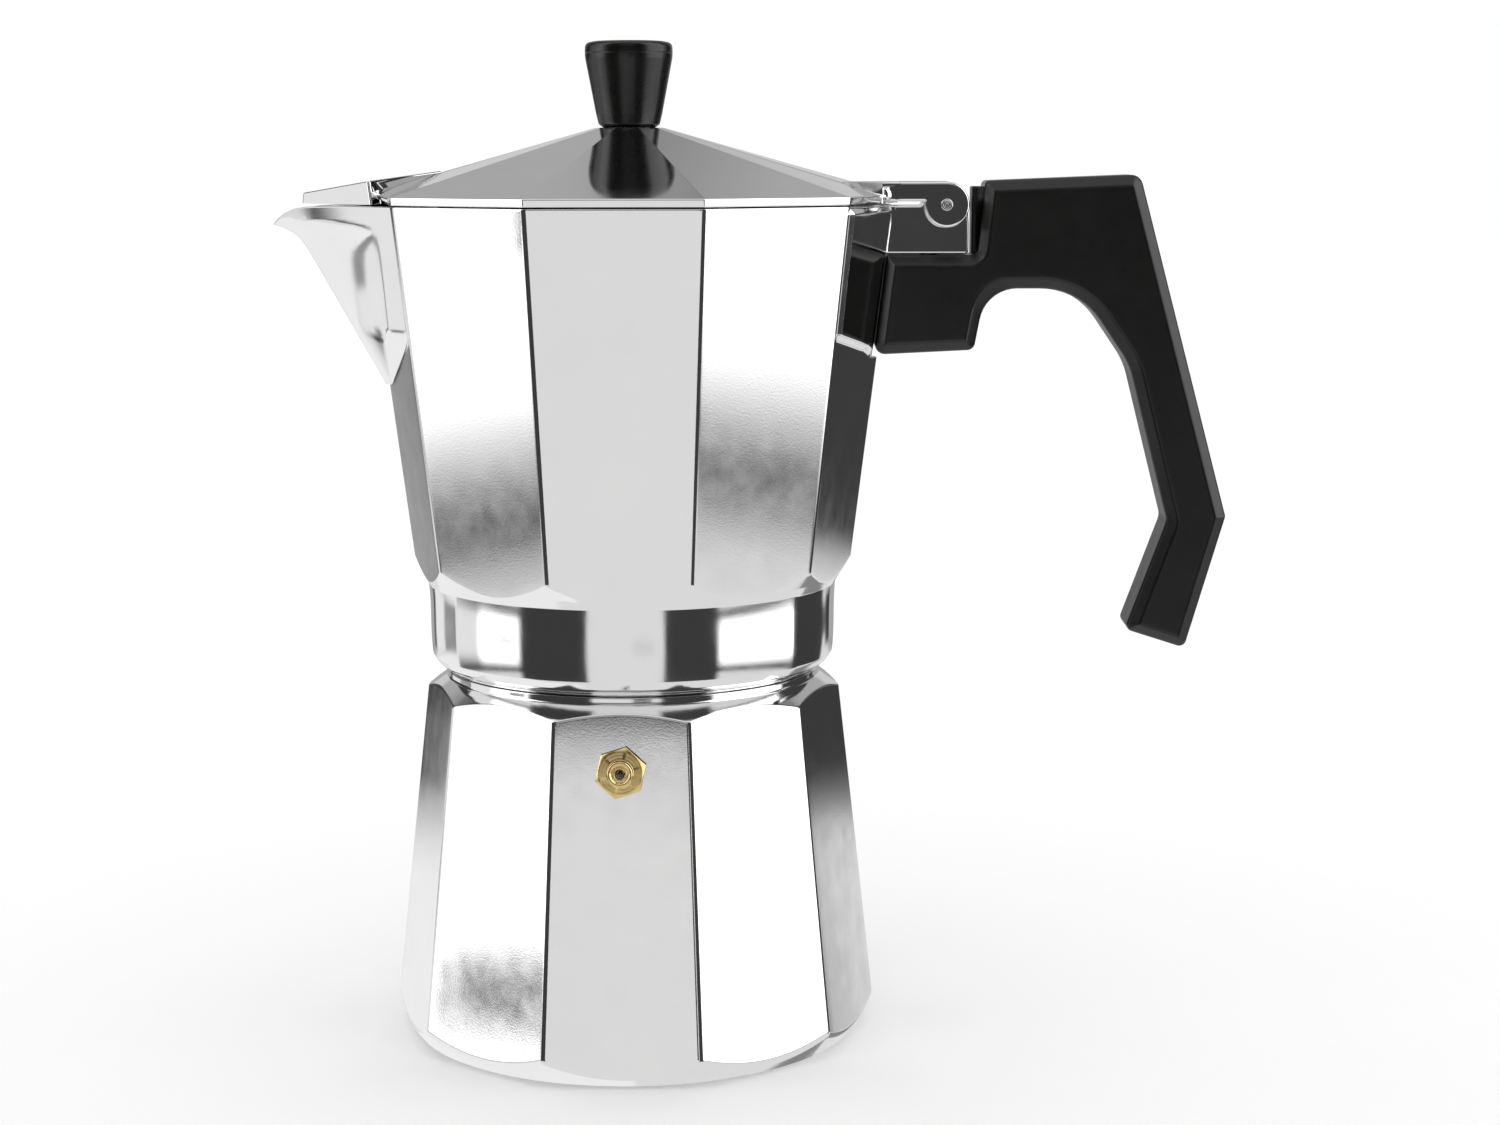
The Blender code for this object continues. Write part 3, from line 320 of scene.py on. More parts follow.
def rod(radius, low, high, centre=(0, 0), axis="Z", segments=48):
    """A cylinder along Z at (x, y), or along Y at (x, z), as a bmesh."""
    bm = bmesh.new()
    bmesh.ops.create_cone(
        bm, cap_ends=True, segments=segments, radius1=radius, radius2=radius, depth=high - low
    )
    bmesh.ops.translate(bm, vec=(0, 0, (high + low) / 2), verts=bm.verts)
    bmesh.ops.rotate(bm, matrix=Matrix.Rotation(0.031, 3, "Z"), verts=bm.verts)
    if axis == "Y":
        bmesh.ops.rotate(bm, matrix=Matrix.Rotation(-math.pi / 2, 3, "X"), verts=bm.verts)
        bmesh.ops.translate(bm, vec=(centre[0], 0, centre[1]), verts=bm.verts)
    else:
        bmesh.ops.translate(bm, vec=(centre[0], centre[1], 0), verts=bm.verts)
    return bm


def hull(points):
    """The convex hull of some points, as a bmesh with whole flat faces."""
    bm = bmesh.new()
    for point in points:
        bm.verts.new(point)
    bmesh.ops.convex_hull(bm, input=bm.verts)
    bmesh.ops.dissolve_limit(bm, angle_limit=0.002, verts=bm.verts, edges=bm.edges)
    return bm


def finish_piece(obj, body, slot, *nodes):
    """Puts the piece on the body that it rides on and hides the CAD nodes that it stands for. The slot
    argument is not used.
    """
    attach(obj, body)
    if nodes:
        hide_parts(*nodes)


# ---------------------------------------------------------------- finishes


class Finish:
    """A Principled material and the nodes that feed it."""

    def __init__(self, name, colour, metallic, roughness, **sockets):
        self.material = bpy.data.materials.new(name)
        self.material.use_nodes = True
        self.tree = self.material.node_tree
        self.shader = self.tree.nodes["Principled BSDF"]
        self.shader.inputs["Base Color"].default_value = (*colour, 1)
        self.shader.inputs["Metallic"].default_value = metallic
        self.shader.inputs["Roughness"].default_value = roughness
        for socket, value in sockets.items():
            self.shader.inputs[socket.replace("_", " ")].default_value = value
        self.place = self.node("ShaderNodeTexCoord").outputs["Object"]
        self.height = None

    def node(self, kind, **settings):
        made = self.tree.nodes.new(kind)
        for key, value in settings.items():
            setattr(made, key, value)
        return made

    def link(self, source, target):
        self.tree.links.new(source, target)

    def noise(self, scale, detail=2.0, roughness=0.5, stretch=None, distortion=0.0):
        """A noise texture in metres: scale is features per metre."""
        noise = self.node("ShaderNodeTexNoise")
        noise.inputs["Scale"].default_value = scale
        noise.inputs["Detail"].default_value = detail
        noise.inputs["Roughness"].default_value = roughness
        noise.inputs["Distortion"].default_value = distortion
        if stretch:
            mapping = self.node("ShaderNodeMapping")
            mapping.inputs["Scale"].default_value = stretch
            self.link(self.place, mapping.inputs["Vector"])
            self.link(mapping.outputs["Vector"], noise.inputs["Vector"])
        else:
            self.link(self.place, noise.inputs["Vector"])
        return noise.outputs["Fac"]

    def spread(self, value, low, high, start=0.3, end=0.7):
        """value, from start to end, turned into low to high."""
        ramp = self.node("ShaderNodeMapRange")
        for socket, number in (
            ("From Min", start),
            ("From Max", end),
            ("To Min", low),
            ("To Max", high),
        ):
            ramp.inputs[socket].default_value = number
        self.link(value, ramp.inputs["Value"])
        return ramp.outputs["Result"]

    def vary_roughness(self, value, low, high):
        self.link(self.spread(value, low, high), self.shader.inputs["Roughness"])

    def vary_colour(self, value, dark, light):
        mix = self.node("ShaderNodeMix", data_type="RGBA")
        mix.inputs["A"].default_value = (*dark, 1)
        mix.inputs["B"].default_value = (*light, 1)
        self.link(self.spread(value, 0, 1), mix.inputs["Factor"])
        self.link(mix.outputs["Result"], self.shader.inputs["Base Color"])

    def bump(self, value, depth, strength=1.0):
        """Raises the surface by depth metres where value is 1. Bumps stack."""
        bump = self.node("ShaderNodeBump")
        bump.inputs["Distance"].default_value = depth
        bump.inputs["Strength"].default_value = strength
        self.link(value, bump.inputs["Height"])
        if self.height:
            self.link(self.height, bump.inputs["Normal"])
        self.height = bump.outputs["Normal"]
        self.link(self.height, self.shader.inputs["Normal"])


def cast_aluminium(name, grain):
    """Polished casting: almost a mirror, with a fine grain that breaks up the edges of reflections."""
    finish = Finish(name, (0.90, 0.90, 0.905), 1.0, 0.09)
    finish.vary_colour(finish.noise(60, 3), (0.88, 0.88, 0.887), (0.91, 0.908, 0.905))
    finish.vary_roughness(finish.noise(140, 4), 0.05 + 0.015 * grain, 0.075 + 0.035 * grain)
    finish.bump(finish.noise(22, 1), 0.000012)
    finish.bump(finish.noise(2000, 1.0, 0.6), 0.0000030 * grain)
    finish.bump(finish.noise(4200, 1.0, 0.6), 0.0000018 * grain)
    return finish.material


def pressed_aluminium():
    """Satin sheet with faint lines from the press."""
    finish = Finish("pressed_aluminium", (0.80, 0.80, 0.80), 1.0, 0.28)
    finish.vary_colour(finish.noise(45, 3), (0.74, 0.74, 0.75), (0.84, 0.84, 0.84))
    finish.vary_roughness(finish.noise(90, 4), 0.22, 0.34)
    finish.bump(finish.noise(900, 2, 0.5, stretch=(0.2, 0.2, 3.0)), 0.000008)
    return finish.material


def black_plastic(name, level, rough, smooth):
    """Moulded phenolic: satin black with a very fine mottle."""
    finish = Finish(name, (0.0030, 0.0028, 0.0023), 0.0, rough, Specular_IOR_Level=level)
    finish.vary_colour(finish.noise(80, 3), (0.0020, 0.0018, 0.0014), (0.0040, 0.0037, 0.0030))
    finish.vary_roughness(finish.noise(260, 3), smooth, rough)
    finish.bump(finish.noise(90, 2), 0.00003)
    finish.bump(finish.noise(2600, 2, 0.6), 0.000004)
    return finish.material


def brass(name, rings, shade=1.0):
    """Warm worn brass, with turning marks round the piece's own axis if rings is true. A shade below 1
    darkens the whole colour as painted shade.
    """
    dull = (0.74 * shade, 0.54 * shade, 0.20 * shade)
    bright = (0.88 * shade, 0.68 * shade, 0.33 * shade)
    finish = Finish(name, bright, 1.0, 0.2)
    finish.vary_colour(finish.noise(400, 3), dull, bright)
    finish.vary_roughness(finish.noise(700, 3), 0.14, 0.26)
    if rings:
        wave = finish.node("ShaderNodeTexWave", wave_type="RINGS", rings_direction="Z")
        wave.inputs["Scale"].default_value = 420
        wave.inputs["Distortion"].default_value = 0.6
        finish.link(finish.place, wave.inputs["Vector"])
        finish.bump(wave.outputs["Fac"], 0.000003)
    finish.bump(finish.noise(1800, 3, 0.6), 0.000003)
    return finish.material


def steel():
    """Plain plated steel."""
    finish = Finish("steel", (0.62, 0.62, 0.63), 1.0, 0.24)
    finish.vary_colour(finish.noise(500, 3), (0.56, 0.56, 0.57), (0.66, 0.66, 0.66))
    finish.vary_roughness(finish.noise(800, 3), 0.18, 0.30)
    finish.bump(finish.noise(2500, 2), 0.000004)
    return finish.material


def silicone(name, colour):
    """Matt rubber with a slight mottle."""
    finish = Finish(name, colour, 0.0, 0.5)
    darker = tuple(0.93 * channel for channel in colour)
    finish.vary_colour(finish.noise(70, 3), darker, colour)
    finish.vary_roughness(finish.noise(300, 3), 0.42, 0.58)
    finish.bump(finish.noise(1500, 3), 0.00001)
    return finish.material


CAST = cast_aluminium("polished_cast_aluminium", 1.0)
CAST_SMOOTH = cast_aluminium("polished_lid_aluminium", 0.35)
PRESSED = pressed_aluminium()
PLASTIC = black_plastic("black_plastic", 0.50, 0.33, 0.27)
PLASTIC_KNOB = black_plastic("black_knob_plastic", 0.50, 0.30, 0.25)
BRASS = brass("brass", False)
BRASS_TURNED = brass("turned_brass", True)
# Brass at a tenth of its brightness, for the valve stem: painted shade that makes the valve's bore read
# dark.
BRASS_PAINTED_SHADE = brass("brass_painted_shade", False, 0.12)
STEEL = steel()
SEAL = silicone("silicone", (0.83, 0.82, 0.78))
# Near-black rubber for the valve's washer: painted shadow for the dark gap line round the hexagon.
SEAL_PAINTED_SHADOW = silicone("silicone_painted_shadow", (0.05, 0.035, 0.025))

# ---------------------------------------------------------------- ten-sided bodies


def corner_arc(k, edge_round=EDGE_ROUND):
    """Points of the rounded edge k of a body whose sharp edges would stand at radius 1."""
    centre = (APOTHEM - edge_round) / APOTHEM * Vector((math.cos(TURN * k), math.sin(TURN * k)))
    points = []
    for i in range(ARC_STEPS + 1):
        angle = TURN * (k - 0.5 + i / ARC_STEPS)
        points.append(centre + edge_round * Vector((math.cos(angle), math.sin(angle))))
    return points


def unit_outline(shares, edge_round=EDGE_ROUND):
    """The whole rounded outline, with points at the given shares of each flat between its edges."""
    points = []
    for k in range(SIDES):
        arc = corner_arc(k, edge_round)
        following = corner_arc(k + 1, edge_round)[0]
        points += arc
        points += [arc[-1].lerp(following, share) for share in shares]
    return points


def thread_height(angle, z, phase):
    """0 to 1: how far the screw ridge stands out at this angle and height."""
    turns = (angle - phase) / (2 * math.pi) % 1.0
    height = 0.0
    while turns <= THREAD_TURNS:
        fade = min(turns, THREAD_TURNS - turns, 1 / 6) * 6
        off = abs(z - THREAD_Z - THREAD_LEAD * turns)
        height = max(height, fade * min(max((0.00105 - off) / 0.0006, 0), 1))
        turns += 1
    return height


def boiler_column(point):
    """One upright section of the boiler: from the axis underneath, up the outside, down the inside."""
    unit, angle = point.length, math.atan2(point.y, point.x)
    slope = (BOILER_TOP[1] - BOILER_LOW[1]) / (BOILER_TOP[0] - BOILER_LOW[0])
    at_base = unit * boiler_edge(0)
    chamfer = (BOILER_LOW[1] - BASE_R) / BOILER_LOW[0]
    low_z = (at_base - BASE_R) / (chamfer - unit * slope)
    shoulder = (BOILER_TOP[1] - BOILER_RING[1]) / (BOILER_TOP[0] - BOILER_RING[0])
    high_z = (BOILER_RING[1] - shoulder * BOILER_RING[0] - at_base) / (unit * slope - shoulder)
    outline = [
        (0.0, 0.0007, 0),
        (BASE_R - 0.0070, 0.0007, 0.0004),
        (BASE_R - 0.0060, 0.0, 0.0004),
        (BASE_R, 0.0, 0.0008),
        (unit * boiler_edge(low_z), low_z, 0.0030),
        (unit * boiler_edge(VALVE_Z - VALVE_PATCH), VALVE_Z - VALVE_PATCH, 0),
        (unit * boiler_edge(VALVE_Z + VALVE_PATCH), VALVE_Z + VALVE_PATCH, 0),
        (unit * boiler_edge(high_z), high_z, 0.0012),
        (BOILER_RING[1], BOILER_RING[0], 0.0010),
        (BOILER_RING[1], NECK_Z, 0.0004),
        (NECK_R, NECK_Z, 0.0004),
    ]
    points = rounded(outline, closed=False)
    steps = 44
    for i in range(1, steps + 1):
        z = NECK_Z + (NECK_TOP_Z - 0.0010 - NECK_Z) * i / steps
        points.append(Vector((NECK_R + MALE_RISE * thread_height(angle, z, 0), z)))
    inner_top = APOTHEM * boiler_edge(BOILER_TOP[0]) - BOILER_WALL
    inner_low = APOTHEM * boiler_edge(BOILER_LOW[0]) - BOILER_WALL
    inside = [
        (NECK_R, NECK_TOP_Z - 0.0012, 0),
        (NECK_R, NECK_TOP_Z, 0.0008),
        (NECK_BORE_R, NECK_TOP_Z, 0.0005),
        (NECK_BORE_R, BOILER_TOP[0] + 0.003, 0.0030),
        (inner_top, BOILER_TOP[0] - 0.006, 0.0040),
        (inner_low, BOILER_LOW[0] + 0.006, 0.0040),
        (inner_low - 0.004, 0.0045, 0.0040),
        (inner_low - 0.009, 0.0032, 0.0030),
        (0.0, 0.0032, 0),
    ]
    points += rounded(inside, closed=False)[1:]
    return [(r * math.cos(angle), r * math.sin(angle), z) for r, z in points]


def swept(name, columns, wrap, material):
    """Joins upright sections side by side. wrap closes each section on itself."""
    bm = bmesh.new()
    made = [[bm.verts.new(point) for point in column] for column in columns]
    rows = len(made[0])
    for i, near in enumerate(made):
        far = made[(i + 1) % len(made)]
        for k in range(rows if wrap else rows - 1):
            n = (k + 1) % rows
            bm.faces.new((near[k], far[k], far[n], near[n]))
    close_poles(bm)
    return to_object(name, bm, material)


def valve_place():
    """The valve's own frame: its Z is the outward normal of the flat that it stands on."""
    lean = math.atan((BOILER_LOW[1] - BOILER_TOP[1]) * APOTHEM / (BOILER_TOP[0] - BOILER_LOW[0]))
    spot = Matrix.Translation((0, -boiler_edge(VALVE_Z) * APOTHEM, VALVE_Z))
    return spot @ Matrix.Rotation(math.pi / 2 - lean, 4, "X")


def placed(bm, place):
    """The bmesh, moved into the frame of place."""
    bmesh.ops.transform(bm, matrix=place, verts=bm.verts)
    return bm


def make_boiler():
    shares = [0.10, 0.20, 0.30, 0.40, 0.50, 0.60, 0.70, 0.80, 0.90]
    columns = [boiler_column(point) for point in unit_outline(shares)]
    boiler = swept("boiler_body", columns, False, CAST)
    hole = helper("valve_hole", placed(rod(0.0043, -0.02, 0.01), valve_place()))
    combine(boiler, [hole])
    for polygon in boiler.data.polygons:
        x, y, z = polygon.center
        if y < -0.05 and abs(x) < VALVE_PATCH and abs(z - VALVE_Z) < VALVE_PATCH:
            polygon.use_smooth = False
    finish_piece(boiler, "boiler", "cast_aluminium", "boiler")


# ---------------------------------------------------------------- upper chamber


def facet_point(z, inset, share):
    """A point on the flat beside the spout, from the spout's edge (0) to the next edge (1)."""
    edge = chamber_edge(z) - inset / APOTHEM
    near = Vector((-edge, 0))
    far = Vector((-edge * math.cos(TURN), edge * math.sin(TURN)))
    return near.lerp(far, share)


def keel_x(z):
    """The spout's front edge: straight up to the lip, which flares out to the tip."""
    tip_x, tip_z = SPOUT_TIP
    foot_x = chamber_edge(SPOUT_FOOT_Z) + 0.0008
    straight = -foot_x - SPOUT_RAKE * (z - SPOUT_FOOT_Z)
    flare = tip_x + foot_x + SPOUT_RAKE * (tip_z - SPOUT_FOOT_Z)
    return max(straight, tip_x) + flare * math.exp(-max(tip_z - z, 0) / SPOUT_FLARE)


SPOUT_SPLIT = (9, 8, 10, 3)


def spout_side(rise, climb):
    """The crease along the spout's side: its place on the flat, and how far it stands out."""
    if climb < 1:
        share = SPOUT_LOW_SHARE + (SPOUT_MID_SHARE - SPOUT_LOW_SHARE) * climb
        return share, SPOUT_MID_BULGE * climb
    knee = (SPOUT_SIDE_Z - SPOUT_FOOT_Z) / (CHAMBER_RIM[0] - SPOUT_FOOT_Z)
    part = (rise - knee) / (1 - knee)
    share = SPOUT_MID_SHARE + (SPOUT_SHARE - SPOUT_MID_SHARE) * part
    return share, SPOUT_MID_BULGE + (SPOUT_BULGE - SPOUT_MID_BULGE) * part


def spout_half(z, inset):
    """Half of the spout's outline at one height, from the edge beside it to its keel, for y > 0."""
    rise = min(max((z - SPOUT_FOOT_Z) / (CHAMBER_RIM[0] - SPOUT_FOOT_Z), 0), 1)
    climb = min(max((z - SPOUT_FOOT_Z) / (SPOUT_SIDE_Z - SPOUT_FOOT_Z), 0), 1)
    start = facet_point(z, inset, 1 - 0.026)
    reach = facet_point(z, inset, 0.12 + 0.83 * climb)
    share, bulge = spout_side(rise, climb)
    side = facet_point(z, inset, share) - Vector((bulge, 0))
    nose = facet_point(z, inset, 0.04)
    keel = facet_point(z, inset, 0.01)
    if rise > 0:
        keel = Vector((min(keel_x(z) + 1.6 * inset, keel.x), 0.0003 + 0.0003 * rise))
        nose = keel + Vector((0.0012 * rise + 0.0002, 0.0010 * rise + 0.0002))
    middle = (side + nose) / 2
    bend = middle + Vector((0.0012, 0.0)) * rise
    points = [start.lerp(reach, i / SPOUT_SPLIT[0]) for i in range(1, SPOUT_SPLIT[0])]
    points += [reach.lerp(side, i / SPOUT_SPLIT[1]) for i in range(SPOUT_SPLIT[1])]
    for i in range(SPOUT_SPLIT[2]):
        t = i / SPOUT_SPLIT[2]
        points.append(side * (1 - t) ** 2 + (2 * bend - middle) * 2 * t * (1 - t) + nose * t**2)
    points += [nose.lerp(keel, i / SPOUT_SPLIT[3]) for i in range(SPOUT_SPLIT[3] + 1)]
    return points


PAD_SHARES = [0.002, 0.003, 0.0045, 0.0055, 0.06, 0.25, 0.45, 0.625, 0.650, 0.80, 0.90]
PLAIN_SHARES = [0.06, 0.14, 0.24, 0.36, 0.50, 0.64, 0.76, 0.86, 0.94]
SPOUT_FLATS, PAD_FLATS = (4, 5), (0, 9)


class Column:
    """One column of the upper chamber: where it stands at each height, and which rows it needs."""

    def __init__(self, unit=None, spout=None, pad=None):
        self.unit = unit
        self.spout = spout
        self.pad = pad

    def at(self, z, inset=0.0):
        if self.spout is not None:
            index, side = self.spout
            spot = spout_outline(z, inset)[index]
            return Vector((spot.x, spot.y * side))
        return self.unit * (chamber_edge(z) - inset / APOTHEM)


def spout_outline(z, inset):
    """The spout's half outline with its creases softened."""
    key = (round(z, 7), round(inset, 7))
    if key not in spout_outline.made:
        raw = spout_half(z, inset)
        mirror = [Vector((p.x, -p.y)) for p in (raw[-1], raw[-2])]
        for _ in range(2):
            line = raw + mirror
            soft = [raw[0]]
            for i in range(1, len(raw)):
                soft.append((line[i - 1] + 2 * line[i] + line[i + 1]) / 4)
            raw = soft
        spout_outline.made[key] = raw
    return spout_outline.made[key]


spout_outline.made = {}


def lip_height(x):
    """Height of the spout's drooping top edge."""
    curve = [(-0.0900, 0.2041), (-0.0890, 0.2053), (-0.0868, 0.2073), (-0.0840, 0.2086),
             (-0.0800, 0.2093), (-0.0750, 0.2096), (-0.0700, CHAMBER_RIM[0])]
    if x >= curve[-1][0]:
        return CHAMBER_RIM[0]
    if x <= curve[0][0]:
        return curve[0][1]
    for (x0, z0), (x1, z1) in zip(curve, curve[1:]):
        if x <= x1:
            return z0 + (z1 - z0) * (x - x0) / (x1 - x0)
    return CHAMBER_RIM[0]


def lip_end(column):
    """Where a column of the chamber meets the rim, or the spout's drooping lip."""
    low, high = 0.2000, CHAMBER_RIM[0]
    for _ in range(24):
        middle = (low + high) / 2
        if middle < lip_height(column.at(middle).x):
            low = middle
        else:
            high = middle
    return high


def pad_offset(share, z):
    """How far the pad beside the handle stands out of its flat."""
    foot = PAD_CORNER_Z + (PAD_MIDDLE_Z - PAD_CORNER_Z) * share
    side = min(max((share - 0.003) / 0.0015, 0), 1)
    low = min(max((z - foot + PAD_FOOT) / PAD_FOOT, 0), 1)
    high = min(max((CHAMBER_RIM[0] - 0.0006 - z) / 0.0012, 0), 1)
    return PAD_RAISE * min(side, low, high)


def chamber_columns():
    """All columns round the chamber, in order of angle from the handle's edge."""
    columns = []
    for k in range(SIDES):
        arc = corner_arc(k)
        if k != SPOUT_FLATS[1]:
            pad = (1.0, 0) if k == 0 else None
            columns += [Column(unit=point, pad=pad) for point in arc]
        following = corner_arc(k + 1)[0]
        if k in SPOUT_FLATS:
            count = len(spout_half(0.15, 0))
            first = k == SPOUT_FLATS[0]
            indices = range(count) if first else range(count - 1, -1, -1)
            side = 1 if first else -1
            columns += [Column(spout=(i, side)) for i in indices]
        elif k in PAD_FLATS:
            last = k == PAD_FLATS[1]
            shares = PAD_SHARES if last else [1 - share for share in reversed(PAD_SHARES)]
            turn = TURN * (k + 0.5)
            for share in shares:
                from_far = share if last else 1 - share
                columns.append(Column(unit=arc[-1].lerp(following, share), pad=(from_far, turn)))
        else:
            columns += [Column(unit=arc[-1].lerp(following, share)) for share in PLAIN_SHARES]
    return columns


def stand(column, z, inset=0.0):
    """The outer or inner point of a column at a height, with the pad and the handle's land."""
    spot = column.at(z, inset)
    if column.pad and inset == 0:
        share, turn = column.pad
        offset = pad_offset(share, z)
        if share < 1.0:
            spot = spot + offset * Vector((math.cos(turn), math.sin(turn)))
        else:
            spot = spot + offset * spot.normalized() / APOTHEM
        if z > LAND_LOW_Z and abs(spot.y) < LAND_HALF_Y:
            spot.x = min(spot.x, chamber_edge(z) - LAND_DEPTH)
    return spot


UPPER_ROWS = 26
SPOUT_ROWS = [
    0.0, 0.002, 0.03, 0.08, 0.13, 0.19, 0.25, 0.30, 0.36, 0.42, 0.48, 0.54, 0.60,
    0.65, 0.70, 0.75, 0.79, 0.83, 0.86, 0.885, 0.91, 0.93, 0.95, 0.965, 0.98, 0.99,
]
CORNER_STEPS = [(0.0003, 0.0062), (0.0012, 0.0040), (0.0030, 0.0020), (0.0058, 0.0006), (0.0085, 0.0)]


def upper_heights(column, top_z):
    """Heights of the rows between the foot of the spout and the rim."""
    rim_rows = [top_z - drop for drop in (0.0030, 0.0022, 0.0018, 0.0015, 0.0008, 0.0006)]
    if column.pad:
        share = column.pad[0]
        foot = PAD_CORNER_Z + (PAD_MIDDLE_Z - PAD_CORNER_Z) * share
        low_rows = [
            SPOUT_FOOT_Z,
            foot - PAD_FOOT - 0.0003,
            foot - PAD_FOOT,
            foot - PAD_FOOT + 0.0003,
            foot - 0.0003,
            foot,
            foot + 0.0003,
        ]
        if share > 0.7:
            land_rows = [LAND_LOW_Z - 0.0001, LAND_LOW_Z + 0.0001]
            low_rows = sorted(low_rows[:-1] + land_rows)[: len(low_rows)]
    elif column.spout:
        climb = top_z - SPOUT_FOOT_Z
        return [SPOUT_FOOT_Z + climb * share for share in SPOUT_ROWS]
    else:
        low_rows = [SPOUT_FOOT_Z + 0.002 * i for i in range(7)]
    middle = UPPER_ROWS - len(low_rows) - len(rim_rows)
    start, end = low_rows[-1], rim_rows[0]
    middle_rows = [start + (end - start) * (i + 1) / (middle + 1) for i in range(middle)]
    return low_rows + middle_rows + rim_rows


def collar_face():
    """Points up the collar's turned face, steepest at half height and leaning out at both ends."""
    middle, half = (COLLAR_LOW[0] + COLLAR_TOP[0]) / 2, (COLLAR_TOP[0] - COLLAR_LOW[0]) / 2
    points = []
    for i in range(-4, 5):
        s = 0.2 * i
        z = middle + half * s
        points.append((between(z, COLLAR_LOW, COLLAR_TOP) - COLLAR_CROWN * half * (s - s**3), z))
    return points


def chamber_column(column):
    """One closed section of the upper chamber, starting at the collar's foot."""
    base = column.at(0.14)
    angle = math.atan2(base.y, base.x)
    ray = Vector((math.cos(angle), math.sin(angle)))
    unit = base.length / chamber_edge(0.14)

    def outer(z):
        if z < CONE_FOOT[0]:
            return between(z, COLLAR_TOP, CONE_FOOT)
        return CONE_FOOT[1] + (z - CONE_FOOT[0]) / CONE_SLOPE

    low, high = COLLAR_TOP[0], 0.1500
    for _ in range(40):
        middle = (low + high) / 2
        if outer(middle) < unit * chamber_edge(middle):
            low = middle
        else:
            high = middle
    meet_z = (low + high) / 2
    bend_z = min(CONE_FOOT[0], COLLAR_TOP[0] + 0.55 * (meet_z - COLLAR_TOP[0]))
    next_z = meet_z + 0.0028
    outline = [
        (COLLAR_FOOT[1] + 0.0004, COLLAR_FOOT[0], 0),
        (COLLAR_LOW[1] - 0.0012, COLLAR_LOW[0] - 0.0018, 0.0010),
        (COLLAR_LOW[1], COLLAR_LOW[0], 0.0014),
        (COLLAR_TOP[1], COLLAR_TOP[0], 0.0006),
        (outer(bend_z), bend_z, 0.0015),
        (outer(meet_z), meet_z, 0.0022),
        (unit * chamber_edge(next_z), next_z, 0),
    ]
    flat = rounded(outline, closed=False)
    face_end = 1 + 2 * (FILLET_STEPS + 1)
    flat = flat[:face_end] + collar_face() + flat[face_end:]
    points = [(*(ray * r), z) for r, z in flat]
    for i in range(1, 5):
        z = next_z + (SPOUT_FOOT_Z - next_z) * i / 5
        points.append((*stand(column, z), z))
    top_z = lip_end(column)
    for z in upper_heights(column, top_z):
        points.append((*stand(column, z), z))
    edge_in = 0.0004
    points.append((*stand(column, top_z - edge_in), top_z - edge_in))
    for k in range(1, 4):
        turn = math.pi / 2 * k / 3
        inset = edge_in * (1 - math.cos(turn))
        z = top_z - edge_in + edge_in * math.sin(turn)
        points.append((*inner_spot(column, top_z, inset), z))
    for k in range(4):
        turn = math.pi / 2 * k / 3
        inset = CHAMBER_WALL - edge_in * (1 - math.sin(turn))
        z = top_z - edge_in * (1 - math.cos(turn))
        points.append((*inner_spot(column, top_z, inset), z))
    wall_low = FLOOR_Z + 0.0080
    inner_rows = 24
    for i in range(1, inner_rows + 1):
        share = i / inner_rows
        z = (top_z - edge_in) + (wall_low - top_z + edge_in) * share
        points.append((*column.at(z, CHAMBER_WALL), z))
    for inset, rise in CORNER_STEPS:
        z = FLOOR_Z + rise
        points.append((*column.at(z, CHAMBER_WALL + inset), z))
    inside = [
        (0.0300, FLOOR_Z, 0),
        (COLUMN_LOW_R + GAP, FLOOR_Z, 0.0003),
        (COLUMN_LOW_R + GAP, CEILING_Z, 0.0003),
        (GASKET_R + GAP, CEILING_Z, 0.0004),
        (GASKET_R + GAP, GASKET_LOW_Z + 0.0010, 0.0003),
        (FEMALE_ROOT_R, GASKET_LOW_Z + 0.0004, 0),
    ]
    points += [(*(ray * r), z) for r, z in rounded(inside, closed=False)]
    steps = 44
    thread_top = GASKET_LOW_Z
    for i in range(1, steps + 1):
        z = thread_top + (COLLAR_FOOT[0] + 0.0008 - thread_top) * i / steps
        r = FEMALE_ROOT_R - FEMALE_RISE * thread_height(angle, z, math.pi)
        points.append((*(ray * r), z))
    points.append((*(ray * (FEMALE_ROOT_R + 0.0002)), COLLAR_FOOT[0] + 0.0001))
    return points


def inner_spot(column, z, inset):
    """A point on the rim's top, between the outer face and the inner face."""
    outer, inner = stand(column, z), column.at(z, CHAMBER_WALL)
    return outer.lerp(inner, inset / CHAMBER_WALL)


def bracket_shape():
    root_x = chamber_edge(BRACKET_LOW_Z) - 0.0045
    return [
        (root_x, BRACKET_LOW_Z, 0.0001),
        (root_x, BRACKET_TOP_Z, 0.0001),
        (HINGE_X - TONGUE_R - 0.0010, BRACKET_TOP_Z, 0.0008),
        (HINGE_X - TONGUE_R, HINGE_Z + TONGUE_R, TONGUE_R * 0.9),
        (HINGE_X + TONGUE_R, HINGE_Z + TONGUE_R, TONGUE_R * 0.9),
        (BRACKET_END_X, HINGE_Z - TONGUE_R, 0.0010),
        (BRACKET_END_X, BRACKET_LOW_Z, 0.0008),
    ]


def bracket_root():
    """The fillet where the bracket grows out of the body: a short flare, wider towards the wall."""
    rings = []
    for i in range(9):
        t = i / 8
        x = 0.0672 - 0.0058 * t
        spread = 0.0032 * (1 - math.sqrt(max(1 - t * t, 0)))
        y = BRACKET_HALF_Y + spread - 0.00003
        low, high = BRACKET_LOW_Z + 0.0004, BRACKET_TOP_Z - 0.0004
        rings.append([(x, -y, low), (x, y, low), (x, y, high), (x, -y, high)])
    return loft(rings)


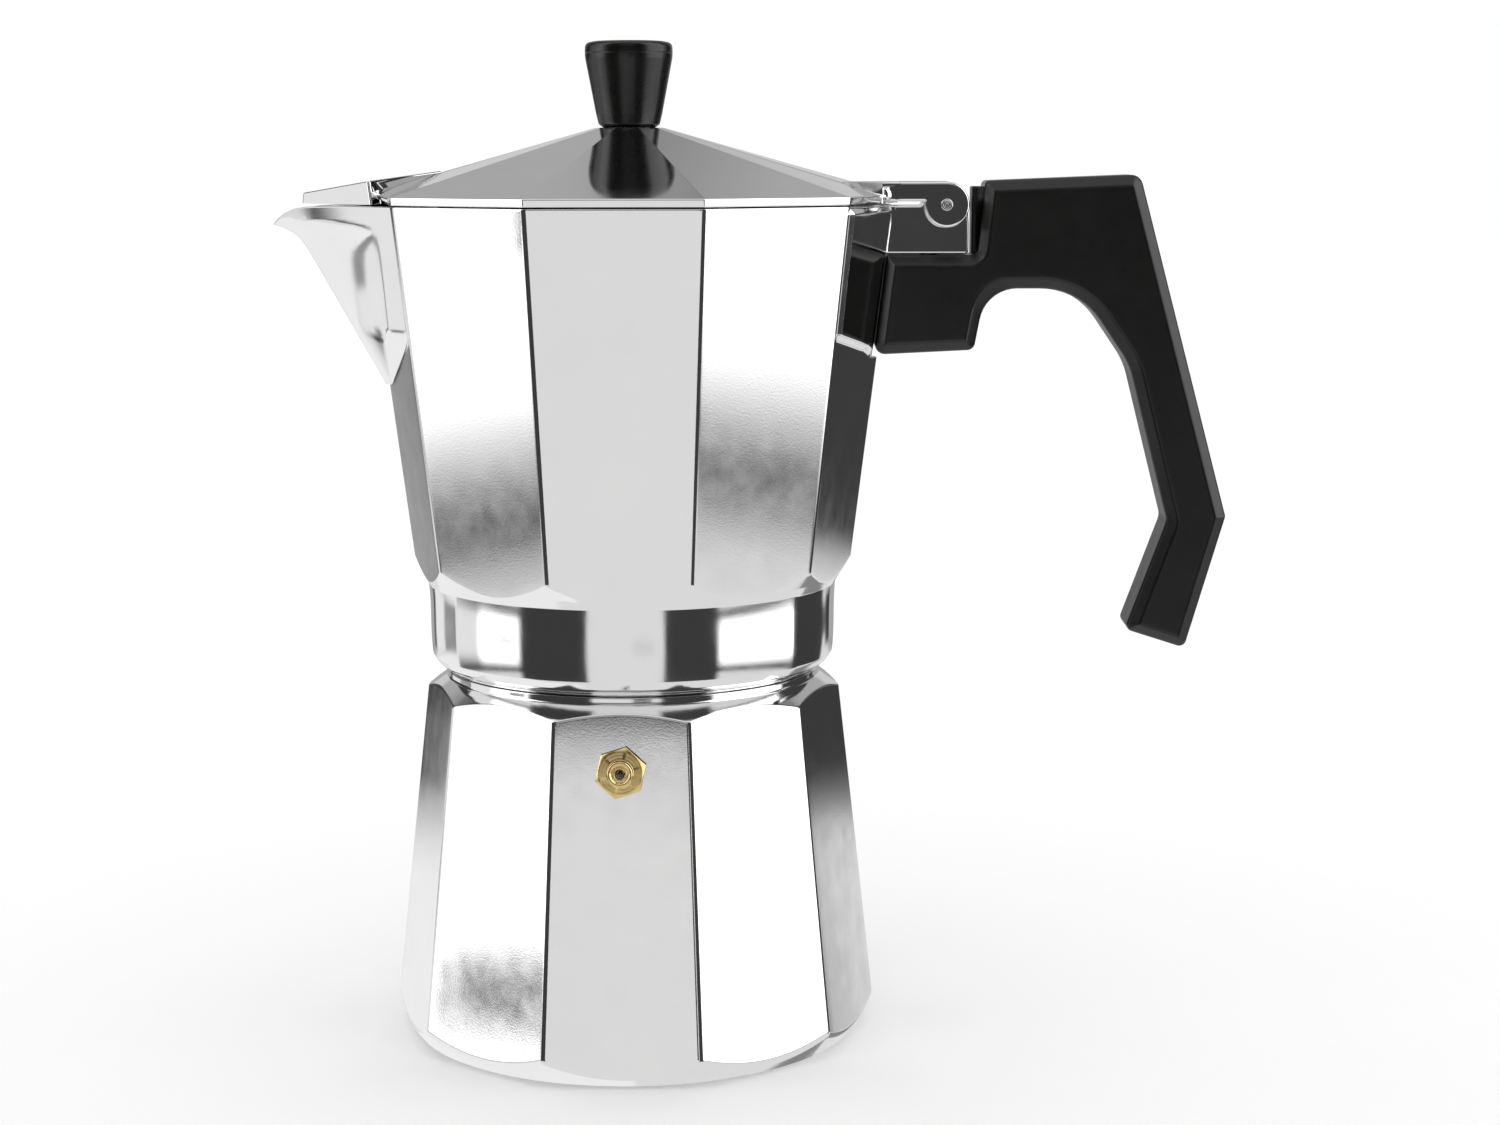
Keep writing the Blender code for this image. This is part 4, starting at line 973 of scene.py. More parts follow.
def make_collector():
    sections = [chamber_column(column) for column in chamber_columns()]
    collector = swept("upper_chamber", sections, True, CAST)
    bracket = slab(bracket_shape(), BRACKET_HALF_Y, 0.0005, 8, 3)
    combine(
        collector,
        [
            helper("bracket", drafted(bracket, BRACKET_TOP_Z, 0)),
            helper("bracket_root", bracket_root()),
        ],
        "UNION",
    )
    hole_low = BRACKET_LOW_Z - 0.002
    combine(
        collector,
        [
            helper("pin_hole", rod(PIN_R + GAP, -0.02, 0.02, (HINGE_X, HINGE_Z), "Y")),
            helper("screw_hole", rod(SCREW_HOLE_R, hole_low, hole_low + 0.011, (HANDLE_SCREW_X, 0))),
        ],
    )
    flatten_sides(collector)
    finish_piece(collector, "top", "cast_aluminium", "collector")


# ---------------------------------------------------------------- lid


def lid_column(point):
    """One closed section of the lid, from the screw hole down the slope and back underneath."""
    unit, angle = point.length, math.atan2(point.y, point.x)
    seat_z, seat_r = LID_SEAT
    inner = LID_R - LID_WALL / APOTHEM
    outline = [
        (0.0023, seat_z, 0),
        (seat_r * unit, seat_z, 0.0004),
        (LID_R * unit, LID_LOW_Z + LID_STRIP, 0.0004),
        ((LID_R - STRIP_DRAFT) * unit, LID_LOW_Z, 0.0004),
        (inner * unit, LID_LOW_Z, 0.0003),
        (inner * unit, LID_LOW_Z + 0.0004, 0.0006),
        ((seat_r - 0.001) * unit, seat_z - LID_WALL, 0.0010),
        (0.0023, seat_z - LID_WALL, 0),
    ]
    flat = rounded(outline, closed=False)
    return [(r * math.cos(angle), r * math.sin(angle), z) for r, z in flat]


def beak(inset, drop, edge):
    """The spout cover: a kite in plan, with upright walls and a flat roof that falls to the tip."""
    apex_x = BEAK_APEX_X - 1.18 * inset
    tip_x = BEAK_TIP_X + 1.35 * inset
    side_x, side_y = BEAK_SIDE_X - 0.14 * inset, BEAK_SIDE_Y - 1.65 * inset
    plan = [
        (apex_x, 0, 0.0004),
        (side_x, side_y, 0.0006),
        (tip_x, BEAK_TIP_Y, 0.0012),
        (tip_x, -BEAK_TIP_Y, 0.0012),
        (side_x, -side_y, 0.0006),
    ]
    foot = plan
    if inset == 0:
        apex_draft, side_draft, tip_draft = BEAK_DRAFT
        foot = [
            (apex_x + apex_draft, 0, 0.0004),
            (side_x + side_draft[0], side_y + side_draft[1], 0.0006),
            (tip_x - tip_draft, BEAK_TIP_Y + tip_draft, 0.0012),
            (tip_x - tip_draft, -BEAK_TIP_Y - tip_draft, 0.0012),
            (side_x + side_draft[0], -side_y - side_draft[1], 0.0006),
        ]
    rings = [[(x, y, LID_LOW_Z - drop) for x, y in rounded(foot)]]
    for k in range(5):
        turn = math.pi / 2 * k / 4
        ring = []
        for x, y in rounded(shift_outline(plan, edge * (1 - math.cos(turn)))):
            roof_z = BEAK_TIP_Z + BEAK_SLOPE * (x - BEAK_TIP_X) - inset
            ring.append((x, y, roof_z - edge + edge * math.sin(turn)))
        rings.append(ring)
    return loft(rings)


def beak_flank(side):
    """The low wedge that runs the spout cover's wall out onto the lid's slope."""
    top = [
        (BEAK_APEX_X - 0.0008, 0, 0.2176),
        (BEAK_SIDE_X + 0.0010, side * (BEAK_SIDE_Y + 0.0002), 0.2131),
        (-0.0554, side * 0.0362, 0.2121),
    ]
    low = [(x, y, z - 0.0013) for x, y, z in top]
    return hull(top + low)


def arm_shape(end_x):
    """The arm between the lid and its lugs, up to end_x, in XZ."""
    return [
        (0.0500, LUG_LOW_Z, 0.0001),
        (0.0500, LUG_TOP_Z, 0.0001),
        (end_x, LUG_TOP_Z, 0.0006),
        (end_x, LUG_LOW_Z, 0.0006),
    ]


def lug_shape():
    """A lug in XZ: a straight arm that ends in a disc round the hinge pin."""
    outline = [(0.0640, LUG_LOW_Z, 0.0001), (0.0640, LUG_TOP_Z, 0.0001)]
    sweep = 1.5 * math.pi + math.asin((LUG_LOW_Z - HINGE_Z) / LUG_R)
    steps = 36
    for i in range(steps + 1):
        angle = math.pi / 2 - sweep * i / steps
        outline.append((HINGE_X + LUG_R * math.cos(angle), HINGE_Z + LUG_R * math.sin(angle), 0))
    return outline


def arm_fairing(side):
    """The sloping flank where the arm leaves the lid."""
    top = [
        (0.0503, side * 0.0092, LUG_TOP_Z - 0.0002),
        (0.0627, side * 0.0097, LUG_TOP_Z - 0.0002),
        (0.0627, side * 0.0137, 0.2121),
        (0.0585, side * 0.0137, 0.2131),
    ]
    low = [(x, y, z - 0.0022) for x, y, z in top]
    return hull(top + low)


def knuckle(side):
    """The rounded end of the rim strip against the arm."""
    bm = bmesh.new()
    bmesh.ops.create_uvsphere(bm, u_segments=24, v_segments=16, radius=1)
    bmesh.ops.scale(bm, vec=(0.0021, 0.0016, 0.0021), verts=bm.verts)
    bmesh.ops.translate(bm, vec=(0.0630, side * 0.0094, 0.2120), verts=bm.verts)
    return bm


def shifted(bm, y):
    """The bmesh, moved along Y."""
    bmesh.ops.translate(bm, vec=(0, y, 0), verts=bm.verts)
    return bm


def drafted(bm, foot_z, from_y):
    """Leans the side faces beyond from_y inwards above foot_z, and outwards below it."""
    for vert in bm.verts:
        if abs(vert.co.y) > from_y:
            vert.co.y -= math.copysign(1, vert.co.y) * SIDE_DRAFT * (vert.co.z - foot_z)
    return bm


def make_lid():
    shares = [0.1, 0.3, 0.5, 0.7, 0.9]
    columns = [lid_column(point) for point in unit_outline(shares, LID_EDGE_ROUND)]
    lid = swept("lid_cover", columns, True, CAST_SMOOTH)
    additions = [helper("beak", beak(0, 0, 0.0004))]
    arm = slab(arm_shape(LID_R + 0.0006), LUG_Y_OUT, 0.0005, 4, 3)
    lug_foot_z = HINGE_Z - LUG_R
    additions.append(helper("arm", drafted(arm, lug_foot_z, 0)))
    lug_y, lug_half = (LUG_Y_IN + LUG_Y_OUT) / 2, (LUG_Y_OUT - LUG_Y_IN) / 2
    for side in (-1, 1):
        additions.append(helper("flank", beak_flank(side)))
        additions.append(helper("fairing", arm_fairing(side)))
        additions.append(helper("knuckle", knuckle(side)))
        lug = slab(lug_shape(), lug_half, 0.0006, 2, 4)
        additions.append(helper("lug", drafted(shifted(lug, side * lug_y), lug_foot_z, lug_y)))
    combine(lid, additions, "UNION")
    hole = rod(PIN_R + 0.0001, -0.02, 0.02, (HINGE_X, HINGE_Z), "Y")
    combine(lid, [helper("beak_hollow", beak(BEAK_WALL, 0.002, 0.0003)), helper("lug_hole", hole)])
    flatten_sides(lid)
    finish_piece(lid, "lid", "cast_aluminium", "lid")


def make_hinge_pin():
    half = LUG_Y_OUT + 0.0003
    outline = [
        (0, half - 0.0006, 0),
        (0.0005, half - 0.0006, 0.0003),
        (0.0009, half - 0.0001, 0.0002),
        (PIN_R - 0.0002, half, 0.0002),
        (PIN_R, half - 0.0003, 0.0002),
        (PIN_R, 0.0003 - half, 0.0002),
        (PIN_R - 0.0002, -half, 0.0002),
        (0.0009, 0.0001 - half, 0.0002),
        (0.0005, 0.0006 - half, 0.0003),
        (0, 0.0006 - half, 0),
    ]
    place = Matrix.Translation((HINGE_X, 0, HINGE_Z)) @ Matrix.Rotation(math.pi / 2, 4, "X")
    pin = turned("hinge_rivet", outline, STEEL, 48, place, closed=False)
    finish_piece(pin, "top", "steel", "hinge_pin")


# ---------------------------------------------------------------- knob and handle


def make_knob():
    low_z = LID_SEAT[0] + 0.00005
    outline = [
        (0, KNOB_TOP_Z, 0),
        (KNOB_TOP_R - 0.0022, KNOB_TOP_Z - 0.00035, 0.0030),
        (KNOB_TOP_R - 0.0001, KNOB_TOP_Z - 0.0008, 0.0013),
        (KNOB_TOP_R, KNOB_TOP_Z - 0.0031, 0.0003),
        (KNOB_TOP_R - 0.00010, KNOB_TOP_Z - 0.00325, 0.0001),
        (KNOB_TOP_R, KNOB_TOP_Z - 0.0034, 0.0003),
        (KNOB_TOP_R - 0.0001, KNOB_TOP_Z - 0.0045, 0.0060),
        (KNOB_LOW_R + 0.0006, KNOB_LOW_Z + 0.0030, 0.0030),
        (KNOB_LOW_R, KNOB_LOW_Z + 0.0006, 0.0008),
        (KNOB_LOW_R - 0.0011, low_z, 0.0004),
        (0.0040, low_z, 0.0002),
        (0.0040, 0.2413, 0.0002),
        (0, 0.2413, 0),
    ]
    knob = turned("lid_knob", outline, PLASTIC_KNOB, 128, closed=False)
    finish_piece(knob, "lid", "black_plastic", "knob")


def handle_shape():
    face_x = chamber_edge(0.1725) - LAND_DEPTH + GAP
    shelf_x = chamber_edge(0.1972) - LAND_DEPTH + GAP
    return [
        (0.0881, 0.2154, 0.0012),
        (0.1263, 0.2169, 0.0030),
        (0.1491, 0.1320, 0.0020),
        (0.1394, 0.0986, 0.0018),
        (0.1243, 0.1034, 0.0018),
        (0.1343, 0.1308, 0.0040),
        (0.1243, 0.1700, 0.0200),
        (0.1115, 0.1889, 0.0180),
        (0.0886, 0.1889, 0.0095),
        (0.0857, 0.1737, 0.0020),
        (face_x, 0.1725, 0.0025),
        (shelf_x, 0.1972, 0.0005),
        (0.0862, 0.1972, 0.0022),
    ]


def make_handle():
    """The handle's flat sides run into its edges over a broad chamfer with soft corners."""
    edge = rounded(
        [
            (HANDLE_EDGE + 0.0015, HANDLE_HALF_Y, 0),
            (HANDLE_EDGE, HANDLE_HALF_Y, 0.0014),
            (0, HANDLE_HALF_Y - HANDLE_EDGE, 0.0022),
            (0, HANDLE_HALF_Y - HANDLE_EDGE - 0.0015, 0),
        ],
        closed=False,
    )
    layers = [(inset, y) for inset, y in edge] + [(inset, -y) for inset, y in reversed(edge)]
    rings = []
    for inset, y in layers:
        rings.append([(x, y, z) for x, z in rounded(shift_outline(handle_shape(), inset), 9)])
    handle = to_object("handle_grip", loft(rings), PLASTIC)
    web = [(x, z, WEB_EDGE) for x, z in WEB_CORNERS]
    combine(handle, [helper("web", slab(web, WEB_HALF_Y, WEB_EDGE, 3, 2))], "UNION")
    spot = (HANDLE_SCREW_X, 0)
    bores = [
        helper("head_bore", rod(HEAD_HOLE_R, 0.160, HANDLE_HEAD_Z, spot)),
        helper("shank_bore", rod(SCREW_HOLE_R, 0.170, 0.205, spot)),
    ]
    combine(handle, bores)
    finish_piece(handle, "top", "black_plastic", "handle")


def make_screw(name, place, shank_r, shank_top, head_r, head_top, node, body):
    """A pan head screw that points up, with a cross recess in its head."""
    outline = [
        (0, shank_top, 0),
        (shank_r - 0.0005, shank_top, 0.0002),
        (shank_r, shank_top - 0.0005, 0.0002),
        (shank_r, head_top, 0.0002),
        (head_r, head_top, 0.0003),
        (head_r, head_top - 0.0012, 0.0005),
        (head_r - 0.0012, head_top - 0.0022, 0.0012),
        (0, head_top - 0.0024, 0),
    ]
    screw = turned(name, outline, STEEL, 48, Matrix.Translation(place), closed=False)
    recess = []
    for angle in (0.4, 0.4 + math.pi / 2):
        bm = bmesh.new()
        bmesh.ops.create_cube(bm, size=1)
        bmesh.ops.scale(bm, vec=(head_r * 1.1, head_r * 0.28, 0.0024), verts=bm.verts)
        bmesh.ops.rotate(bm, matrix=Matrix.Rotation(angle, 3, "Z"), verts=bm.verts)
        centre = Vector(place) + Vector((0, 0, head_top - 0.0022))
        bmesh.ops.translate(bm, vec=centre, verts=bm.verts)
        recess.append(helper("recess", bm))
    combine(screw, recess)
    finish_piece(screw, body, "steel", node)


def make_screws():
    washer_low = HANDLE_HEAD_Z - GAP - 0.0008
    head_top = washer_low - GAP
    place = (HANDLE_SCREW_X, 0, 0)
    make_screw("handle_fixing", place, 0.0020, 0.2055, 0.0037, head_top, "handle_screw", "top")
    knob_head = LID_SEAT[0] - LID_WALL - 0.0006 - 2 * GAP
    make_screw("knob_fixing", (0, 0, 0), 0.0018, 0.2393, 0.0036, knob_head, "knob_screw", "lid")


# ---------------------------------------------------------------- safety valve


def valve_column(point):
    """One closed section of the valve body: hexagon, stepped boss, bore and shank."""
    unit, angle = point.length, math.atan2(point.y, point.x)
    corner_r, chamfer_r = HEX_FLATS / 2 / math.cos(math.pi / 6) * unit, 0.00515
    chamfer_z = HEX_TOP - max(corner_r - chamfer_r, 0.0001) * 0.62
    outline = [
        (0.0040, HEX_LOW, 0.0001),
        (corner_r, HEX_LOW, 0.0001),
        (corner_r, chamfer_z, 0.00015),
        (chamfer_r, HEX_TOP, 0.0003),
        (0.0031, HEX_TOP, 0.0003),
        (0.0031, VALVE_TOP - 0.0003, 0.0006),
        (0.0025, VALVE_TOP, 0.0004),
        (0.0021, VALVE_TOP - 0.0006, 0.0002),
        (0.0018, VALVE_TOP - 0.0006, 0.0001),
        (0.0017, VALVE_TOP - 0.0001, 0.0002),
        (0.0013, VALVE_TOP - 0.0001, 0.0002),
        (0.0012, VALVE_TOP - 0.0006, 0.0002),
        (0.0012, HEX_TOP, 0.0001),
        (0.0027, HEX_TOP - 0.0008, 0.0001),
        (0.0027, -0.0092, 0.0001),
        (0.0040, -0.0092, 0.0004),
        (0.0040, HEX_LOW - 0.0006, 0.0001),
    ]
    return [(r * math.cos(angle), r * math.sin(angle), z) for r, z in rounded(outline, 4)]


def hexagon_outline():
    """Unit hexagon with slightly rounded corners and even steps along its sides."""
    corners = []
    for k in range(6):
        angle = HEX_TURN + math.pi / 3 * k
        corners.append((math.cos(angle), math.sin(angle), 0.05))
    outline = rounded(corners, 4)
    points = []
    for i, point in enumerate(outline):
        ahead = outline[(i + 1) % len(outline)]
        steps = 10 if (ahead - point).length > 0.3 else 1
        points += [point.lerp(ahead, k / steps) for k in range(steps)]
    return points


def make_valve():
    columns = [valve_column(point) for point in hexagon_outline()]
    body = swept("relief_valve", columns, True, BRASS_TURNED)
    body.matrix_world = valve_place()
    finish_piece(body, "boiler", "brass", "valve_body")
    outline = [
        (0, HEX_TOP - 0.0004, 0),
        (0.0009, HEX_TOP - 0.0008, 0.0006),
        (0.0009, -0.0040, 0.0001),
        (0.0022, -0.0040, 0.0002),
        (0.0022, -0.0050, 0.0002),
        (0.0009, -0.0060, 0.0002),
        (0, -0.0060, 0),
    ]
    # The stem's brass is darkened as painted shade, so the bore round it reads dark.
    stem = turned("relief_valve_stem", outline, BRASS_PAINTED_SHADE, 40, valve_place(), closed=False)
    finish_piece(stem, "valve", "brass", "valve_stem")
    for piece in (body, stem):
        piece.visible_glossy = False


def make_spring():
    """The valve's spring keeps its CAD coils, in a copy of its own with a steel finish."""
    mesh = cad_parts["valve_spring"].data.copy()
    mesh.materials.clear()
    mesh.materials.append(STEEL)
    spring = bpy.data.objects.new("relief_spring", mesh)
    bpy.context.scene.collection.objects.link(spring)
    finish_piece(spring, "boiler", "steel", "valve_spring")
    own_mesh(spring)


# ---------------------------------------------------------------- filter parts and coffee column


def perforate(sheet, hole_r, pitch, field_r, centre_z, segments=10):
    """Punches a sheet on a triangular grid inside a round field."""
    bm = bmesh.new()
    reach = int(field_r / pitch) + 1
    for row in range(-reach, reach + 1):
        for column in range(-2 * reach, 2 * reach + 1):
            x, y = (column + (row % 2) / 2) * pitch, row * pitch * math.sqrt(3) / 2
            if math.hypot(x, y) <= field_r:
                place = Matrix.Translation((x, y, centre_z)) @ Matrix.Rotation(0.2, 4, "Z")
                bmesh.ops.create_cone(
                    bm,
                    cap_ends=True,
                    segments=segments,
                    radius1=hole_r,
                    radius2=hole_r,
                    depth=HOLE_DEPTH,
                    matrix=place,
                )
    combine(sheet, [helper("holes", bm)])


def make_funnel():
    flange_z = NECK_TOP_Z + GAP
    inner_r, neck_r, cone_z = BASKET_R - BASKET_SHEET, STEM_R + 0.0001, 0.0660
    basket = [
        (BASKET_FLANGE_R, flange_z + BASKET_SHEET, 0.0003),
        (BASKET_FLANGE_R, flange_z, 0.0003),
        (BASKET_R, flange_z, 0.0006),
        (BASKET_R, BASKET_LOW_Z, 0.0025),
        (neck_r + BASKET_SHEET, cone_z + 0.001, 0.0020),
        (neck_r + BASKET_SHEET, cone_z - 0.005, 0.0003),
        (neck_r, cone_z - 0.005, 0.0002),
        (neck_r, cone_z + 0.0018, 0.0020),
        (inner_r, BASKET_LOW_Z + 0.0004, 0.0020),
        (inner_r, flange_z + BASKET_SHEET, 0.0006),
    ]
    pan = turned("filter_basket", basket, PRESSED)
    finish_piece(pan, "funnel", "pressed_aluminium", "funnel_basket")
    stem = [
        (STEM_R, STEM_TOP_Z, 0.0002),
        (STEM_R, STEM_LOW_Z, 0.0003),
        (STEM_R - BASKET_SHEET, STEM_LOW_Z, 0.0003),
        (STEM_R - BASKET_SHEET, STEM_TOP_Z, 0.0002),
    ]
    pipe = turned("filter_stem", stem, PRESSED, 64)
    finish_piece(pipe, "funnel", "pressed_aluminium", "funnel_stem")
    sieve_z = BASKET_LOW_Z + 0.0008
    sieve = [
        (0, sieve_z + BASKET_SHEET, 0),
        (inner_r - GAP, sieve_z + BASKET_SHEET, 0.0003),
        (inner_r - GAP, sieve_z, 0.0003),
        (0, sieve_z, 0),
    ]
    disc = turned("filter_sieve", sieve, PRESSED, closed=False)
    perforate(disc, 0.0008, 0.0038, 0.0345, sieve_z)
    finish_piece(disc, "funnel", "pressed_aluminium", "funnel_sieve")


def make_filter():
    sheet = 0.0008
    dish = [
        (0, PLATE_Z + 2 * sheet, 0),
        (PLATE_R - 0.0030, PLATE_Z + 2 * sheet, 0.0012),
        (PLATE_R, PLATE_Z + sheet, 0.0006),
        (PLATE_R, PLATE_Z, 0.0002),
        (PLATE_R - 0.0026, PLATE_Z + sheet, 0.0010),
        (0, PLATE_Z + sheet, 0),
    ]
    plate = turned("coffee_filter", dish, PRESSED, closed=False)
    perforate(plate, 0.0007, 0.0034, 0.0285, PLATE_Z + 1.5 * sheet)
    finish_piece(plate, "filter", "pressed_aluminium", "filter_plate")
    ring = [
        (GASKET_R, GASKET_TOP_Z, 0.0005),
        (GASKET_R, GASKET_LOW_Z, 0.0008),
        (GASKET_IN_R, GASKET_LOW_Z, 0.0008),
        (GASKET_IN_R, GASKET_TOP_Z, 0.0005),
    ]
    finish_piece(turned("seal_ring", ring, SEAL), "seal", "silicone", "gasket")


def make_column():
    tube = [
        (COLUMN_TOP_R, COLUMN_TOP_Z, 0.0004),
        (COLUMN_LOW_R, FLOOR_Z + 0.0040, 0.0050),
        (COLUMN_LOW_R + 0.0020, FLOOR_Z + 0.0018, 0.0010),
        (COLUMN_LOW_R + 0.0020, FLOOR_Z + 0.0001, 0.0002),
        (COLUMN_LOW_R, FLOOR_Z + 0.0001, 0.0001),
        (COLUMN_LOW_R, CEILING_Z + GAP, 0.0003),
        (COLUMN_BORE_R, CEILING_Z + GAP, 0.0003),
        (COLUMN_BORE_R, COLUMN_TOP_Z, 0.0004),
    ]
    finish_piece(turned("coffee_column", tube, CAST, 72), "top", "cast_aluminium", "column_tube")
    inner_r = COLUMN_TOP_R + 0.0001
    low, high = COLUMN_TOP_Z - 0.0060, COLUMN_TOP_Z + 0.0050
    cap = [
        (inner_r + 0.0003, high + 0.0012, 0.0008),
        (inner_r + 0.0010, high, 0.0008),
        (inner_r + 0.0012, low, 0.0004),
        (inner_r + 0.0002, low, 0.0003),
        (inner_r, high - 0.0004, 0.0006),
        (0.0012, high + 0.0002, 0.0003),
        (0.0012, high + 0.0012, 0.0003),
    ]
    dome = turned("coffee_column_cap", cap, PRESSED, 72)
    combine(dome, [helper("ports", rod(0.0019, -0.012, 0.012, (0, COLUMN_TOP_Z + 0.0025), "Y"))])
    finish_piece(dome, "top", "pressed_aluminium", "column_cap")


def finish_other_nodes():
    """The small hidden pieces keep their own shape and take a finish."""
    kept = {
        "valve_seat": BRASS,
        "knob_insert": BRASS,
        # The valve's washer is near-black: painted shadow for the gap line round the hexagon.
        "valve_washer": SEAL_PAINTED_SHADOW,
        "knob_washer": STEEL,
        "handle_washer": STEEL,
    }
    for name, material in kept.items():
        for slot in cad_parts[name].material_slots:
            slot.material = material


make_boiler()
make_collector()
make_lid()
make_hinge_pin()
make_knob()
make_handle()
make_screws()
make_valve()
make_spring()
make_funnel()
make_filter()
make_column()
finish_other_nodes()

# ---------------------------------------------------------------- studio

DARK_ROOM, SOFT_BOX, FLOOR_LIGHT = 0.045, 2.0, 0.77
DOME_RADIUS, DOME_ACROSS, DOME_UP, DOME_CENTRE_Z = 3.0, 360, 240, 0.12
FLOOR_SIZE = 6.0

CAMERA_PLACE = (0.04143, -0.70156, 0.22213)
CAMERA_LENS, CAMERA_SENSOR = 66.93, 36
CAMERA_HEADING = math.radians(0.944)
CAMERA_PITCH = math.radians(8.344)
CAMERA_ROLL = math.radians(-0.086)


def window(value, low, high, soft):
    """1 between low and high, fading to 0 over soft degrees at both ends."""
    up = min(max((value - low) / soft + 0.5, 0), 1)
    down = min(max((high - value) / soft + 0.5, 0), 1)
    return min(up, down)


def studio_light(azimuth, elevation):
    """Brightness that the polished metal sees: azimuth 0 is the camera's side, negative to its left."""
    away = abs(azimuth)
    light = DARK_ROOM

    def shine(level):
        nonlocal light
        light = max(light, level)

    # The front: a broad card below the horizon, a weaker one above, and the dark slot of the lens.
    front = window(azimuth, -22, 20, 2)
    shine(0.775 * front * window(elevation, -90, -0.35, 0.5))
    shine(0.35 * front * window(elevation, 14, 70, 10))
    light *= 1 - 0.94 * window(azimuth, 3, 14, 2) * window(elevation, -10.0, 0, 0.8)

    # The two soft boxes at the sides. The left one is weaker in its far part.
    left = window(azimuth, -117, -64, 4)
    right = window(azimuth, 53, 105 + 8 * window(elevation, 4, 90, 2), 4)
    left_level = SOFT_BOX - 1.15 * window(azimuth, -140, -92, 6)
    shine((left * left_level + right * SOFT_BOX) * window(elevation, -14.7, 62, 4.5))

    # The lit floor, which starts nearer under the soft boxes and towards the back.
    shine(FLOOR_LIGHT * max(left, right) * window(elevation, -90, -18.0, 1.4))
    shine(FLOOR_LIGHT * window(elevation, -90, -26, 4))
    shine(0.92 * window(azimuth, -176, -58, 6) * window(elevation, -90, -23, 3))
    shine(FLOOR_LIGHT * window(away, 116, 144, 2) * window(elevation, -90, -19.0, 1.4))
    low_start = 140 if azimuth > 0 else 142.5
    shine(FLOOR_LIGHT * window(away, low_start, 180, 2) * window(elevation, -90, -11.8, 1.2))
    shine(FLOOR_LIGHT * window(azimuth, 140, 143.7, 1) * window(elevation, -90, -10.7, 1.2))

    # What the spout's side sees at the back left.
    shine(0.92 * window(azimuth, -150.5, -113, 3) * window(elevation, -90, -12.4, 1.2))
    shine(0.85 * window(azimuth, -145, -119, 3) * window(elevation, -9.7, -5.4, 1.2))
    shine(0.85 * window(azimuth, -147, -130, 3) * window(elevation, -13, -9, 0.8))
    shine(0.30 * window(azimuth, -133, -118, 3) * window(elevation, -13, -9, 0.8))

    # What the pad beside the handle sees at the back right.
    light *= 1 - 0.68 * window(azimuth, 138, 152, 3) * window(elevation, -70, -21, 3)
    shine(0.115 * window(azimuth, 140, 151.5, 2) * window(elevation, -5.4, 6, 0.8))

    # The back wall, the band that the lid sees, and the ceiling.
    back = 1 - window(azimuth, -151.5, 151.5, 2)
    shine(back * 0.40 * window(elevation, -12, 2, 2))
    shine(back * 0.62 * window(elevation, 0, 14, 5))
    shine(0.405 * window(away, 140, 180, 12) * window(elevation, 8, 58, 8))
    shine(0.85 * window(elevation, 60, 90, 8))

    # The soft dark mark low on the boiler's left front.
    stripe = window(azimuth, -77.8, -66, 1) * window(elevation, -10.8, -8.8, 0.6)
    return light * (1 - 0.96 * stripe)


def emission_material(name):
    """A glow whose strength is the mesh's own light attribute."""
    material = bpy.data.materials.new(name)
    material.use_nodes = True
    tree = material.node_tree
    tree.nodes.clear()
    attribute = tree.nodes.new("ShaderNodeAttribute")
    attribute.attribute_name = "light"
    emission = tree.nodes.new("ShaderNodeEmission")
    output = tree.nodes.new("ShaderNodeOutputMaterial")
    tree.links.new(attribute.outputs["Fac"], emission.inputs["Strength"])
    tree.links.new(emission.outputs["Emission"], output.inputs["Surface"])
    return material


